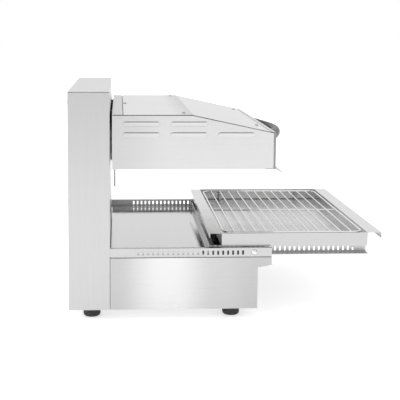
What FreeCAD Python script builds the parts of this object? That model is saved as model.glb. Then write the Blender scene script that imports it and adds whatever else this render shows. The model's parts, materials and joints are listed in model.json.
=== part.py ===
import FreeCAD, Part
import math
import os

# Lift salamander grill with a counterbalanced hood and a pull-out rack, in millimetres.
# +Z is up, +X is the operator's side, and Y runs across the width.
# X is measured here from the middle of the housing's footprint. Every piece is moved at the end,
# so that the origin lies on the worktop under the middle of the whole grill.

V = FreeCAD.Vector

# ---- Driving dimensions -------------------------------------------------------------------
body_width = 600.0
body_depth = 435.0
total_height = 530.0
foot_height = 27.5
column_depth = 94.0
deck_height = 151.0
sheet = 1.2                 # casing sheet
heavy_sheet = 1.5           # galleries, rack and deck supports
fit_gap = 0.3               # between pieces that move past each other
seam = 1.0                  # visible joint line between casing panels
cap_lip = 9.0
column_flange = 16.0        # inward flanges of the column's side panels
screw_radius = 1.9          # casing screws
screw_hole = 2.2

brow_depth = 32.0
brow_drop = 21.0
brow_slant = 5.6
gallery_height = 19.5
gallery_flange = 24.0
gallery_lip = 11.0
slot_pitch = 11.5
slot_width = 4.5
slot_height = 10.6
gallery_slot_first = 64.5   # from the gallery's rear end
gallery_slot_margin = 65.0  # clear length at the gallery's front end
foot_radius = 20.5
foot_inset_rear = 51.5
foot_inset_front = 55.5
foot_inset_side = 50.0

hood_rear_gap = 5.5
hood_depth = 372.0
hood_drop = 51.0            # hood's top below the column's
hood_height = 125.0
hood_flat = 181.0           # level part of the cover, from the hood's rear
hood_front_drop = 41.0
hood_strip = 24.0
fascia_depth = 4.6
fascia_return = 23.0
louvre_length = 84.0
louvre_height = 9.6
louvre_bulge = 4.5
louvre_pitch = 108.0
louvre_first = 66.0         # first louvre's centre from the hood's rear
louvre_rows = ((102.5, 2), (78.0, 3))   # height above the hood's bottom, louvres in the row

rack_overlap = 142.5        # length of the rack still inside the galleries
rack_length = 370.0
rail_inset = 30.0           # from the side face to the rack's upright web
rail_side_gap = 7.0         # between the rack's flange and the side face
rail_slot_margin = 31.0
tray_setback = 27.7         # the tray's rear wall from the rack's rear end
tray_inset = 15.0           # the tray's side wall from the side face
tray_height = 31.0
tray_sheet = 1.0
tray_rear_flange = 28.0
tray_rear_lip = 11.0
tray_front_flange = 32.5
tray_front_lip = 14.0
grid_end_gap = 7.8          # between the tray's end walls and the grid's wire centres
grid_side_gap = 19.0
grid_wires = 14
grid_frame_radius = 2.4
grid_wire_radius = 1.8
grid_corner = 22.0

handle_height = 59.0        # above the hood's bottom
handle_span = 344.0
handle_reach = 58.0
handle_radius = 12.0

arm_spacing = 330.0
arm_thickness = 4.0
lift_down = 105.0
lift_up = 10.0
rod_radius = 6.0
rod_spacing = 420.0
running_gap = 0.05
bush_wall = 3.0
boss_wall = 3.0
pulley_spacing = 220.0
pulley_pitch_radius = 21.0
rope_radius = 1.5
shaft_radius = 5.0
weight_size = (26.0, 330.0, 190.0)

knob_radius = 19.0
knob_depth = 21.0
knob_places = (60.0, 170.0)
switch_place = -50.0

# ---- Places worked out from them ----------------------------------------------------------
half = body_width / 2
back = -body_depth / 2
front = body_depth / 2
split = back + column_depth
brow_front = front + brow_depth
brow_low = deck_height - brow_drop
panel_top = brow_low - brow_slant
gallery_top = deck_height + gallery_height
hood_top = total_height - hood_drop
hood_bottom = hood_top - hood_height
hood_rear = split + hood_rear_gap
hood_front = hood_rear + hood_depth
hood_bend = hood_rear + hood_flat
hood_front_top = hood_top - hood_front_drop
cover_slope = hood_front_drop / (hood_front - hood_bend)
fascia_back = hood_front - fascia_depth
rack_rear = brow_front - rack_overlap
rack_front = rack_rear + rack_length
rail_web = half - rail_inset
tray_bottom = gallery_top + fit_gap
tray_top = tray_bottom + tray_height
tray_rear = rack_rear + tray_setback
tray_front = rack_front
tray_half = half - tray_inset
grid_half = tray_half - grid_side_gap
rod_x = split - sheet - 34.0
rope_rear_x = back + sheet + 4.6 + weight_size[0] / 2
pulley_x = rope_rear_x + pulley_pitch_radius
rope_front_x = pulley_x + pulley_pitch_radius
pulley_rim = pulley_pitch_radius + 3.0
pulley_z = total_height - heavy_sheet - pulley_rim - 10.5
bush_radius = rod_radius + bush_wall
boss_radius = bush_radius + boss_wall
rod_ys = (-rod_spacing / 2, rod_spacing / 2)
rope_ys = (-pulley_spacing / 2, pulley_spacing / 2)
arm_ys = (-arm_spacing / 2, arm_spacing / 2)
gland_reach = 17.0
front_end = tray_front + tray_front_flange
origin_x = (front_end + back - gland_reach) / 2

nodes = {}


# ---- Small helpers ------------------------------------------------------------------------
def box(x0, x1, y0, y1, z0, z1):
    return Part.makeBox(x1 - x0, y1 - y0, z1 - z0, V(x0, y0, z0))


def side_prism(outline, y0, y1):
    """Outline of (x, z) points, from y0 to y1."""
    points = [V(x, y0, z) for x, z in outline]
    return Part.Face(Part.makePolygon(points + points[:1])).extrude(V(0, y1 - y0, 0))


def front_prism(outline, x0, x1):
    """Outline of (y, z) points, from x0 to x1."""
    points = [V(x0, y, z) for y, z in outline]
    return Part.Face(Part.makePolygon(points + points[:1])).extrude(V(x1 - x0, 0, 0))


def cylinder(start, axis, radius, length):
    return Part.makeCylinder(radius, length, V(*start), V(*axis))


def ring(start, axis, outer, inner, length):
    return cylinder(start, axis, outer, length).cut(cylinder(start, axis, inner, length))


def join(shapes):
    return shapes[0].multiFuse(shapes[1:]).removeSplitter()


def mirrored(shape):
    return shape.mirror(V(0, 0, 0), V(0, 1, 0))


def pair(shape):
    return [shape, mirrored(shape)]


def group(shapes):
    return Part.makeCompound(shapes)


def bent_strip(centre_line, thickness, y0, y1):
    """A sheet folded along the (x, z) points of its outer face; it lies to the right of them."""
    inner = []
    count = len(centre_line)
    for i, (x, z) in enumerate(centre_line):
        normals = []
        for a, b in ((i - 1, i), (i, i + 1)):
            if a >= 0 and b < count:
                dx = centre_line[b][0] - centre_line[a][0]
                dz = centre_line[b][1] - centre_line[a][1]
                size = math.hypot(dx, dz)
                normals.append((dz / size, -dx / size))
        nx = sum(n[0] for n in normals)
        nz = sum(n[1] for n in normals)
        scale = thickness * len(normals) / (nx * nx + nz * nz)
        inner.append((x + nx * scale, z + nz * scale))
    return side_prism(list(centre_line) + inner[::-1], y0, y1)


def slot(x, z0, z1, y0, y1):
    """A round-ended upright slot cutter."""
    r = slot_width / 2
    ends = [cylinder((x, y0, z), (0, 1, 0), r, y1 - y0) for z in (z0 + r, z1 - r)]
    return join([box(x - r, x + r, y0, y1, z0 + r, z1 - r)] + ends)


def tube_path(points, bends):
    """A wire of straight runs, joined by arcs of the given radius at each inner point."""
    edges = []
    start = V(*points[0])
    for i in range(1, len(points) - 1):
        corner = V(*points[i])
        a = (V(*points[i - 1]) - corner).normalize()
        b = (V(*points[i + 1]) - corner).normalize()
        half_angle = a.getAngle(b) / 2
        reach = bends / math.tan(half_angle)
        p0 = corner + a * reach
        p1 = corner + b * reach
        middle = corner + (a + b).normalize() * (bends / math.sin(half_angle) - bends)
        edges.append(Part.LineSegment(start, p0).toShape())
        edges.append(Part.Arc(p0, middle, p1).toShape())
        start = p1
    edges.append(Part.LineSegment(start, V(*points[-1])).toShape())
    return Part.Wire(edges)


def tube(points, bends, radius):
    path = tube_path(points, bends)
    first = V(*points[0])
    along = V(*points[1]) - first
    profile = Part.Wire(Part.makeCircle(radius, first, along))
    return path.makePipeShell([profile], True, False)


def domed_screw(centre, axis, head_radius, head_height, shank_radius, shank_length):
    """Head outside the face at centre, shank going the other way."""
    head = Part.makeCylinder(head_radius, head_height)
    rim = [e for e in head.Edges if e.BoundBox.ZMin > head_height - 0.01 and len(e.Vertexes) == 1]
    shank = cylinder((0, 0, -shank_length), (0, 0, 1), shank_radius, shank_length)
    screw = join([head.makeFillet(head_height * 0.85, rim), shank])
    screw.Placement = FreeCAD.Placement(V(*centre), FreeCAD.Rotation(V(0, 0, 1), V(*axis)))
    return screw


# ---- Housing: column ----------------------------------------------------------------------
def column_side():
    top = total_height - heavy_sheet - seam
    flange_top = total_height - heavy_sheet - cap_lip - seam
    panel = box(back, split, -half, -half + sheet, foot_height, top)
    inner = -half + column_flange
    rear = box(back + sheet, back + 2 * sheet, -half + sheet, inner, foot_height + sheet, flange_top)
    fore = box(split - 2 * sheet, split - sheet, -half + sheet, inner, deck_height, flange_top)
    return join([panel, rear, fore]).cut(back_screw_holes())


def column_front():
    plate = box(split - sheet, split, -half + sheet, half - sheet, deck_height, total_height - heavy_sheet)
    low = hood_bottom - lift_down - 6
    high = hood_top + lift_up + 6
    wide = arm_thickness / 2 + 3
    return plate.cut([box(split - 2 * sheet, split + sheet, y - wide, y + wide, low, high) for y in arm_ys])


def column_cap():
    top = box(back, split, -half, half, total_height - heavy_sheet, total_height)
    inset = sheet + fit_gap
    wide = half - inset
    low = total_height - heavy_sheet - cap_lip
    high = total_height - heavy_sheet
    ring_out = box(back + inset + sheet, split - inset, -wide, wide, low, high)
    ring_in = box(back + inset + 2 * sheet, split - inset - sheet, -wide + sheet, wide - sheet, low, high)
    return join([top, ring_out.cut(ring_in)])


def back_vents():
    """Rows of vents near the bottom and the top of the back panel."""
    places = []
    for z in (80, 98, 116, 420, 438, 456):
        for i in range(8):
            places.append((-210 + i * 60, z))
    return places


def back_panel():
    plate = box(back, back + sheet, -half + sheet + 0.4, half - sheet - 0.4, foot_height + sheet,
                total_height - heavy_sheet - seam)
    cuts = [box(back - 1, back + sheet + 1, y - 21, y + 21, z - 3, z + 3) for y, z in back_vents()]
    cuts.append(cylinder((back - 1, gland_y, gland_z), (1, 0, 0), gland_radius, sheet + 2))
    return plate.cut(cuts + back_screw_holes())


def back_screw_places():
    """Down both edges of the back panel, with the middle ones at half the total height."""
    heights = (foot_height + 22, total_height * 0.53, total_height - 25)
    return [(y, z) for y in (-half + 9, half - 9) for z in heights]


def back_screw_holes():
    return [cylinder((back - 1, y, z), (1, 0, 0), screw_hole, 2 * sheet + 2)
            for y, z in back_screw_places()]


def back_screws():
    return [domed_screw((back, y, z), (-1, 0, 0), 4.2, 2.6, screw_radius, 2 * sheet + 4)
            for y, z in back_screw_places()]


# ---- Housing: base ------------------------------------------------------------------------
def base_side():
    top = deck_height - sheet
    outline = [(split + seam, foot_height), (front, foot_height), (front, panel_top),
               (brow_front, brow_low), (brow_front, top), (split + seam, top)]
    panel = side_prism(outline, -half, -half + sheet)
    foot_flange = box(split + 2, front - 2 * sheet, -half + sheet, -half + 18, foot_height + sheet,
                      foot_height + 2 * sheet)
    return join([panel, foot_flange])


def base_pan():
    wide = half - sheet
    floor = box(back + 2 * sheet, front - sheet, -wide, wide, foot_height, foot_height + sheet)
    cuts = [box(-60 + i * 30, -50 + i * 30, y, y + 90, foot_height - 1, foot_height + sheet + 1)
            for i in range(7) for y in (-150, 60)]
    for x, y in foot_places():
        cuts.append(cylinder((x, y, foot_height - 1), (0, 0, 1), 3.2, sheet + 2))
    return floor.cut(cuts)


def control_panel():
    plate = box(front - sheet, front, -half + sheet, half - sheet, foot_height, panel_top)
    cuts = [cylinder((front - 2 * sheet, y, knob_z), (1, 0, 0), 5.0, 4 * sheet) for y in knob_places]
    cuts += [cylinder((front - 2 * sheet, y, lamp_z), (1, 0, 0), 5.2, 4 * sheet) for y in knob_places]
    cuts.append(box(front - 2 * sheet, front + sheet, switch_place - 9.2, switch_place + 9.2,
                    knob_z - 13.2, knob_z + 13.2))
    return plate.cut(cuts)


def deck():
    line = [(split + seam + 0.5, deck_height), (brow_front, deck_height), (brow_front, brow_low),
            (front, panel_top)]
    wide = half - sheet
    fold = bent_strip(line, sheet, -wide, wide)
    edges = [box(split + seam + 0.5, brow_front, y0, y1, deck_height - sheet, deck_height)
             for y0, y1 in ((-half, -wide), (wide, half))]
    return join([fold] + edges)


def gallery():
    y0 = -half + 0.6
    z0 = deck_height
    web = box(split, brow_front, y0, y0 + heavy_sheet, z0, gallery_top)
    foot = box(split, brow_front, y0, y0 + gallery_flange, z0, z0 + heavy_sheet)
    lip = box(split, brow_front, y0, y0 + gallery_lip, gallery_top - heavy_sheet, gallery_top)
    slots = []
    count = int((brow_front - split - gallery_slot_first - gallery_slot_margin) / slot_pitch) + 1
    for i in range(count):
        x = split + gallery_slot_first + i * slot_pitch
        slots.append(slot(x, z0 + 3.6, z0 + 3.6 + slot_height, y0 - 1, y0 + 3))
    bore = cylinder((stop_x, y0 - 1, stop_z), (0, 1, 0), stop_shank, 4)
    return join([web, foot, lip]).cut(slots + [bore])


def stop_screw():
    return domed_screw((stop_x, -half + 0.6, stop_z), (0, -1, 0), 6.8, 4.0, stop_shank, stop_reach)


stop_x = front - 8.5
stop_z = deck_height + 9.5
stop_shank = 3.0
stop_reach = 17.0


def foot_places():
    return [(x, y) for x in (back + foot_inset_rear, front - foot_inset_front)
            for y in (-half + foot_inset_side, half - foot_inset_side)]


def foot(x, y):
    body = cylinder((x, y, 0), (0, 0, 1), foot_radius, foot_height)
    rim = [e for e in body.Edges if len(e.Vertexes) == 1 and e.BoundBox.ZMax < 1]
    body = body.makeFillet(5.0, rim)
    well = cylinder((x, y, -1), (0, 0, 1), 7.5, 9)
    bore = cylinder((x, y, 7), (0, 0, 1), 3.2, foot_height)
    return body.cut([well, bore])


def foot_screws():
    screws = []
    for x, y in foot_places():
        head = cylinder((x, y, 4.0), (0, 0, 1), 6.5, 4.0)
        shank = cylinder((x, y, 8.0), (0, 0, 1), 3.0, foot_height + sheet)
        nut = cylinder((x, y, foot_height + sheet), (0, 0, 1), 5.5, 4.5)
        screws.append(join([head, shank, nut]))
    return screws


# ---- Controls -----------------------------------------------------------------------------
knob_z = foot_height + 46.0
lamp_z = foot_height + 80.0
gland_y = 200.0
gland_z = 62.0
gland_radius = 8.0


def knob(y):
    """Round skirt with a raised pointer bar."""
    x0 = front + 1.2
    skirt = Part.makeCone(knob_radius, knob_radius - 1.5, 6.0, V(x0, y, knob_z), V(1, 0, 0))
    grip = Part.makeCone(knob_radius - 4, knob_radius - 5.5, knob_depth - 8.0, V(x0 + 6, y, knob_z),
                         V(1, 0, 0))
    low = knob_z - knob_radius + 4.5
    high = knob_z + knob_radius - 2.5
    bar = box(x0 + 6, x0 + knob_depth, y - 4, y + 4, low, high)
    hub = cylinder((x0 - 1, y, knob_z), (1, 0, 0), 3.05, 14)
    return join([skirt, grip, bar]).cut(hub)


def knob_spindle(y):
    return cylinder((front - 14, y, knob_z), (1, 0, 0), 3.0, 27.2)


def regulator(y):
    """Energy regulator behind the panel, with a threaded neck round the spindle."""
    case = box(front - 43, front - sheet, y - 22, y + 22, knob_z - 24, knob_z + 24)
    neck = cylinder((front - sheet, y, knob_z), (1, 0, 0), 4.8, sheet + 0.5)
    bore = cylinder((front - 14.5, y, knob_z), (1, 0, 0), 3.0 + running_gap, 16)
    tabs = [box(front - 49, front - 43, y + k - 1, y + k + 1, knob_z - 8, knob_z - 2) for k in (-12, 0, 12)]
    return join([case, neck] + tabs).cut(bore)


def lamp(y):
    bezel = cylinder((front, y, lamp_z), (1, 0, 0), 7.0, 1.6)
    lens = cylinder((front + 1.6, y, lamp_z), (1, 0, 0), 5.6, 4.0)
    lens = lens.makeFillet(2.2, [e for e in lens.Edges if e.BoundBox.XMin > front + 5])
    body = cylinder((front - 24, y, lamp_z), (1, 0, 0), 5.0, 24)
    return join([bezel, lens, body])


def switch_housing():
    y = switch_place
    flange = box(front, front + 1.6, y - 11, y + 11, knob_z - 15, knob_z + 15)
    body = box(front - 26, front, y - 9, y + 9, knob_z - 13, knob_z + 13)
    well = box(front - 10, front + 2, y - 7.2, y + 7.2, knob_z - 11.5, knob_z + 11.5)
    return join([flange, body]).cut(well)


def switch_rocker():
    y = switch_place
    pivot = (front - 1.5, knob_z)
    outline = [(pivot[0] - 3, knob_z - 9.6), (pivot[0] + 6.2, knob_z - 9.4), (pivot[0] + 3.6, knob_z),
               (pivot[0] + 6.2, knob_z + 9.4), (pivot[0] - 3, knob_z + 9.6)]
    return side_prism(outline, y - 6.6, y + 6.6)


def terminal_block():
    base = box(back + 38, back + 68, gland_y - 100, gland_y - 40, foot_height + sheet, foot_height + 30)
    wells = [cylinder((back + 53, gland_y - 92 + k * 11, foot_height + 20), (0, 0, 1), 3.2, 20)
             for k in range(5)]
    return base.cut(wells)


def cable_gland():
    inside = cylinder((back + sheet, gland_y, gland_z), (1, 0, 0), 12.0, 6)
    neck = cylinder((back, gland_y, gland_z), (1, 0, 0), gland_radius, sheet)
    flange = cylinder((back - 5, gland_y, gland_z), (1, 0, 0), 12.5, 5)
    dome = Part.makeCone(8.5, 11.0, gland_reach - 5, V(back - gland_reach, gland_y, gland_z), V(1, 0, 0))
    bore = cylinder((back - gland_reach - 1, gland_y, gland_z), (1, 0, 0), 4.5, gland_reach + 10)
    return join([inside, neck, flange, dome]).cut(bore)


# ---- Lift mechanism in the column ---------------------------------------------------------
shelf_thickness = 5.0
bearing_drop = 18.0         # bearing plate's lower edge below the pulley shaft
shelf_heights = (foot_height + 120.0, pulley_z - bearing_drop - 3.0 - shelf_thickness)


def guide_rod():
    low, high = shelf_heights
    return cylinder((rod_x, rod_ys[0], low), (0, 0, 1), rod_radius, high + shelf_thickness - low)


def rod_shelf(z0):
    """Shelf across the column that holds both guide rods; open behind for the counterweight."""
    x0 = rod_x - boss_radius - 2
    z1 = z0 + shelf_thickness
    wide = half - 2 * sheet - column_flange
    plate = box(x0, split - sheet, -wide, wide, z0, z1)
    cuts = [cylinder((rod_x, y, z0 - 1), (0, 0, 1), rod_radius, shelf_thickness + 2)
            for y in rod_ys]
    cuts += [box(x0 - 1, rope_front_x + 6, y - 12, y + 12, z0 - 1, z1 + 1) for y in rope_ys]
    gap = arm_thickness / 2 + 3
    cuts += [box(rod_x - 2, split, y - gap, y + gap, z0 - 1, z1 + 1) for y in arm_ys]
    return plate.cut(cuts)


carriage_low = hood_bottom + 12.0
carriage_high = hood_top - 26.0
bush_length = 26.0


def carriage():
    """Cross plate that ties the arms together, with guide-rod bosses and rope blocks."""
    tall = carriage_high - carriage_low
    plate = box(rod_x - 3, rod_x + 1, rod_ys[0] + boss_radius - 3, rod_ys[1] - boss_radius + 3,
                carriage_low, carriage_high)
    window = box(rod_x - 4, rod_x + 2, arm_ys[0] + 40, arm_ys[1] - 40, carriage_low + 25,
                 carriage_high - 45)
    bosses = [cylinder((rod_x, y, carriage_low), (0, 0, 1), boss_radius, tall) for y in rod_ys]
    blocks = [box(min(rod_x - 3, rope_front_x - 8), max(rod_x + 1, rope_front_x + 8), y - 9, y + 9,
                  carriage_high - 24, carriage_high) for y in rope_ys]
    bores = [cylinder((rod_x, y, carriage_low - 1), (0, 0, 1), bush_radius, tall + 2) for y in rod_ys]
    return join([plate.cut(window)] + bosses + blocks).cut(bores)


def carriage_bushes():
    return group([ring((rod_x, y, z), (0, 0, 1), bush_radius, rod_radius + running_gap, bush_length)
                  for y in rod_ys for z in (carriage_low, carriage_high - bush_length)])


def lift_arm():
    """Upright plate from the carriage to the hood's rear wall, with a bolting flange."""
    low = hood_bottom - 1
    high = hood_top + 1
    y = arm_ys[0]
    t = arm_thickness / 2
    web = box(rod_x + 1, hood_rear, y - t, y + t, low + 4, high - 4)
    flange = box(hood_rear - 2.5, hood_rear, y - 16, y + 16, low + 4, high - 4)
    root = box(rod_x + 1, rod_x + 5, y - 16, y + 16, carriage_low, carriage_high)
    return join([web, flange, root])


def pulley():
    """Grooved wheel on the top shaft."""
    y = -pulley_spacing / 2
    wide = 7.0
    rim = pulley_rim
    groove = pulley_pitch_radius - rope_radius - fit_gap
    outline = [V(shaft_radius, y - wide, 0), V(rim, y - wide, 0), V(rim, y - 4.5, 0),
               V(groove, y - 2.2, 0), V(groove, y + 2.2, 0), V(rim, y + 4.5, 0), V(rim, y + wide, 0),
               V(shaft_radius, y + wide, 0)]
    face = Part.Face(Part.makePolygon(outline + outline[:1]))
    wheel = face.revolve(V(0, 0, 0), V(0, 1, 0), 360)
    wheel.translate(V(pulley_x, 0, pulley_z))
    holes = []
    for k in range(5):
        a = math.radians(72 * k)
        reach = (shaft_radius + groove) / 2
        centre = (pulley_x + reach * math.cos(a), y - wide - 1, pulley_z + reach * math.sin(a))
        holes.append(cylinder(centre, (0, 1, 0), 3.0, 2 * wide + 2))
    return wheel.cut(holes)


def pulley_shaft():
    long = pulley_spacing + 90
    return cylinder((pulley_x, -long / 2, pulley_z), (0, 1, 0), shaft_radius, long)


def bearing_plate():
    """Hanger plate under the cap, with a bushed hole for the shaft."""
    y = -pulley_spacing / 2 - 30
    top = total_height - heavy_sheet
    plate = box(pulley_x - 22, pulley_x + 22, y - 3, y + 1, pulley_z - bearing_drop, top)
    flange = box(pulley_x - 22, pulley_x + 22, y - 18, y - 3, top - 3, top)
    return join([plate, flange]).cut(cylinder((pulley_x, y - 8, pulley_z), (0, 1, 0), 8.0, 16))


def shaft_bushes():
    y = -pulley_spacing / 2 - 30
    return group(pair(ring((pulley_x, y - 5, pulley_z), (0, 1, 0), 8.0, shaft_radius + running_gap, 8)))


def rope_bends():
    bends = []
    for y in rope_ys:
        torus = Part.makeTorus(pulley_pitch_radius, rope_radius, V(pulley_x, y, pulley_z), V(0, 1, 0))
        upper = box(pulley_x - 40, pulley_x + 40, y - 5, y + 5, pulley_z, pulley_z + 40)
        bends.append(torus.common(upper))
    return group(bends)


def rope_strands(x, low):
    return group([cylinder((x, y, low), (0, 0, 1), rope_radius, pulley_z - low) for y in rope_ys])


weight_low = foot_height + 40.0
weight_top = weight_low + weight_size[2]
weight_eye = 16.0


def counterweight():
    thick, wide, tall = weight_size
    slab = box(rope_rear_x - thick / 2, rope_rear_x + thick / 2, -wide / 2, wide / 2,
               weight_low, weight_top)
    eyes = [box(rope_rear_x - 6, rope_rear_x + 6, y - 10, y + 10, weight_top, weight_top + weight_eye)
            for y in rope_ys]
    return join([slab] + eyes)


def weight_shoes():
    """Sliding blocks on the counterweight's ends, running in the channels."""
    y = -weight_size[1] / 2
    blocks = [box(rope_rear_x - 5, rope_rear_x + 5, y - 9, y, z, z + 24)
              for z in (weight_low + 8, weight_top - 32)]
    return group(blocks + [mirrored(b) for b in blocks])


def weight_channel():
    y = -weight_size[1] / 2 - 12
    low = foot_height + 20
    high = weight_top + lift_down + 20
    outer = box(back + sheet, rope_rear_x + 7, y, y + 10, low, high)
    groove = box(rope_rear_x - 5 - fit_gap, rope_rear_x + 5 + fit_gap, y + 2, y + 11, low - 1, high + 1)
    return outer.cut(groove)


# ---- Hood ---------------------------------------------------------------------------------
def cover_z(x):
    """Height of the cover's outer face at x."""
    return hood_top - max(0.0, x - hood_bend) * cover_slope


def louvre_places():
    places = []
    for height, count in louvre_rows:
        for i in range(count):
            places.append((hood_rear + louvre_first + i * louvre_pitch, hood_bottom + height))
    return places


def louvre_shell(x, z):
    """Pressed hood over a slot: open along its top edge and faired into the panel below."""
    low = z - louvre_height / 2
    high = z + louvre_height / 2
    r = louvre_height / 2
    outer = front_prism([(-half, low), (-half, high), (-half - louvre_bulge, high),
                         (-half - louvre_bulge * 0.8, low + 3.2)],
                        x - louvre_length / 2, x + louvre_length / 2)
    inner = front_prism([(-half + 2, low + 1.2), (-half + 2, high + 1),
                         (-half - louvre_bulge + sheet, high + 1),
                         (-half - louvre_bulge * 0.8 + sheet, low + 4)],
                        x - louvre_length / 2 + 3, x + louvre_length / 2 - 3)
    ends = [e for e in outer.Edges if e.BoundBox.YMax < -half - 1 and e.BoundBox.ZLength > 1
            and e.BoundBox.XLength < 0.01]
    outer = outer.makeChamfer(min(r, louvre_bulge) * 0.55, ends)
    return outer, inner


def hood_side():
    """Side panel, notched for the fascia's bottom fold, with a flange that carries the reflector."""
    notch = hood_front - fascia_return - 0.6
    fore = fascia_back - 0.4
    under = sheet + 0.1
    above_fold = hood_bottom + sheet + fit_gap
    outline = [(hood_rear, hood_bottom), (notch, hood_bottom), (notch, above_fold),
               (fore, above_fold), (fore, cover_z(fascia_back) - under),
               (hood_bend, hood_top - under), (hood_rear, hood_top - under)]
    panel = side_prism(outline, -half, -half + sheet)
    inner_flange = box(hood_rear + 4, notch, -half + sheet, -half + 12, reflector_low - sheet,
                       reflector_low)
    shells = [louvre_shell(x, z) for x, z in louvre_places()]
    shape = join([panel, inner_flange] + [outer for outer, inner in shells])
    return shape.cut([inner for outer, inner in shells])


def hood_cover():
    """Top sheet: level, then sloping down to the fascia, with turned-down side edges."""
    rear = hood_rear + hood_strip + 0.8
    fore = fascia_back - 8.0
    line = [(fore, cover_z(fore)), (hood_bend, hood_top), (rear, hood_top)][::-1]
    sheet_top = bent_strip(line, sheet, -half, half)
    holes = [cylinder((x, y, cover_z(x) - 8), (0, 0, 1), 2.2, 12) for x, y in hood_screw_places()]
    return sheet_top.cut(holes)


def hood_screw_places():
    side = half - 32
    inner = half - 88
    return [(hood_rear + 31, 0.0), (hood_bend - 18, -side), (hood_bend - 18, side),
            (hood_front - 32, -inner), (hood_front - 32, inner)]


def hood_screws():
    tilt = math.atan(cover_slope)
    screws = []
    for x, y in hood_screw_places():
        sloped = x > hood_bend
        axis = (math.sin(tilt), 0, math.cos(tilt)) if sloped else (0, 0, 1)
        screws.append(domed_screw((x, y, cover_z(x)), axis, 4.6, 2.6, 2.0, 8.0))
    return group(screws)


def hood_back():
    """Rear wall with a narrow top strip and a bottom flange."""
    line = [(hood_rear + 14, hood_bottom), (hood_rear, hood_bottom), (hood_rear, hood_top),
            (hood_rear + hood_strip, hood_top)]
    wall = bent_strip(line, sheet, -half + sheet, half - sheet)
    trims = [box(hood_rear, hood_rear + hood_strip, y0, y1, hood_top - sheet, hood_top)
             for y0, y1 in ((-half, -half + sheet), (half - sheet, half))]
    probe = cylinder((probe_x, -probe_y, hood_bottom - 1), (0, 0, 1), probe_radius, 4)
    return join([wall] + trims).cut(probe)


def hood_fascia():
    """Front panel: folded back at the top under the cover's line and at the bottom."""
    top_x = fascia_back - 7.2
    line = [(top_x, cover_z(top_x)), (hood_front, hood_front_top), (hood_front, hood_bottom),
            (hood_front - fascia_return, hood_bottom)]
    wall = bent_strip(line, sheet, -half + 0.6, half - 0.6)
    cheeks = pair(side_prism([(fascia_back + 0.2, hood_bottom + 0.5), (hood_front - 0.5, hood_bottom + 0.5),
                              (hood_front - 0.5, hood_front_top - 0.5),
                              (fascia_back + 0.2, cover_z(fascia_back) - 0.7)],
                             -half + 0.6, -half + 0.6 + sheet))
    bolts = [cylinder((hood_front - 5, y, handle_z), (1, 0, 0), 3.2, 10)
             for y in (-handle_span / 2, handle_span / 2)]
    return join([wall] + cheeks).cut(bolts)


handle_z = hood_bottom + handle_height
probe_x = hood_rear + 7.6
probe_y = half - 60.0
probe_radius = 4.6


def hood_handle():
    """Round bar bent to a shallow arc, with both ends flush on the fascia."""
    rise = handle_reach - handle_radius
    arc = ((handle_span / 2) ** 2 + rise ** 2) / (2 * rise)
    bar = Part.makeTorus(arc, handle_radius, V(hood_front + rise - arc, 0, handle_z), V(0, 0, 1))
    return bar.common(box(hood_front, hood_front + handle_reach + 1, -handle_span, handle_span,
                          handle_z - 2 * handle_radius, handle_z + 2 * handle_radius))


def handle_bolts():
    bolts = []
    for y in (-handle_span / 2, handle_span / 2):
        head = cylinder((hood_front - sheet - 4, y, handle_z), (1, 0, 0), 6.5, 4)
        shank = cylinder((hood_front - sheet, y, handle_z), (1, 0, 0), 3.0, sheet)
        bolts.append(join([head, shank]))
    return group(bolts)


def drip_lip():
    """Thin strip under the fascia that keeps drips off the operator's side."""
    line = [(hood_front - 12, hood_bottom), (hood_front, hood_bottom), (hood_front + 24, hood_bottom - 13)]
    return bent_strip(line, 0.8, -half + 12, half - 12)


reflector_low = hood_bottom + 2.5 + sheet
reflector_top = reflector_low + 46.0
insulation_top = reflector_top + 24.0


def tube_holes(z0, z1):
    """Clearance for the rising ends of the heating tubes."""
    return [cylinder((x, y, z0), (0, 0, 1), element_radius + 0.6, z1 - z0) for x, y in element_ends()]


def reflector():
    """Inverted pan over the elements, with a flange round its mouth."""
    x0 = hood_rear + 22
    x1 = hood_front - 26
    y1 = half - 26
    low = reflector_low
    pan = box(x0, x1, -y1, y1, low, reflector_top)
    hollow = box(x0 + sheet, x1 - sheet, -y1 + sheet, y1 - sheet, low - 1, reflector_top - sheet)
    rim = box(x0 - 5, x1 + 1, -half + sheet, half - sheet, low, low + sheet)
    return join([pan, rim]).cut([hollow] + tube_holes(reflector_top - 2 * sheet, reflector_top + 1))


def insulation():
    slab = box(hood_rear + 26, hood_front - 30, -half + 34, half - 34, reflector_top, insulation_top)
    return slab.cut(tube_holes(reflector_top - 1, insulation_top + 1))


element_radius = 4.0
element_bend = 14.0
element_inner = 24.0        # innermost leg from the middle
element_gap = 20.0          # between neighbouring hairpins
hairpins_a_side = 3
hairpin_width = (half - 58 - element_inner + element_gap) / hairpins_a_side - element_gap
element_starts = [element_inner + k * (hairpin_width + element_gap) for k in range(hairpins_a_side)]
element_legs = [(y, y + hairpin_width) for y in element_starts]
element_x = hood_rear + 50.0
element_z = hood_bottom + 24.0


def element_ends():
    """Where the heating tubes rise through the reflector."""
    return [(element_x, side * y) for side in (-1, 1) for legs in element_legs for y in legs]


def heating_elements():
    """Hairpin tubes lying side by side; both ends of each turn up through the reflector."""
    x1 = hood_front - 52
    z = element_z
    tube_top = insulation_top + 18
    hairpins = []
    for side in (-1, 1):
        for near, far in element_legs:
            points = [(element_x, side * near, tube_top), (element_x, side * near, z),
                      (x1, side * near, z), (x1, side * far, z), (element_x, side * far, z),
                      (element_x, side * far, tube_top)]
            hairpins.append(tube(points, element_bend, element_radius))
    return group(hairpins)


def element_hangers():
    """Bars under the tubes, hung from the reflector's long walls."""
    bars = []
    for x in (hood_rear + 100, (hood_rear + hood_front) / 2, hood_front - 100):
        bars.append(box(x - 1, x + 1, -half + 27.2, half - 27.2, element_z - element_radius - 9,
                        element_z - element_radius - 0.05))
    return group(bars)


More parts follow.
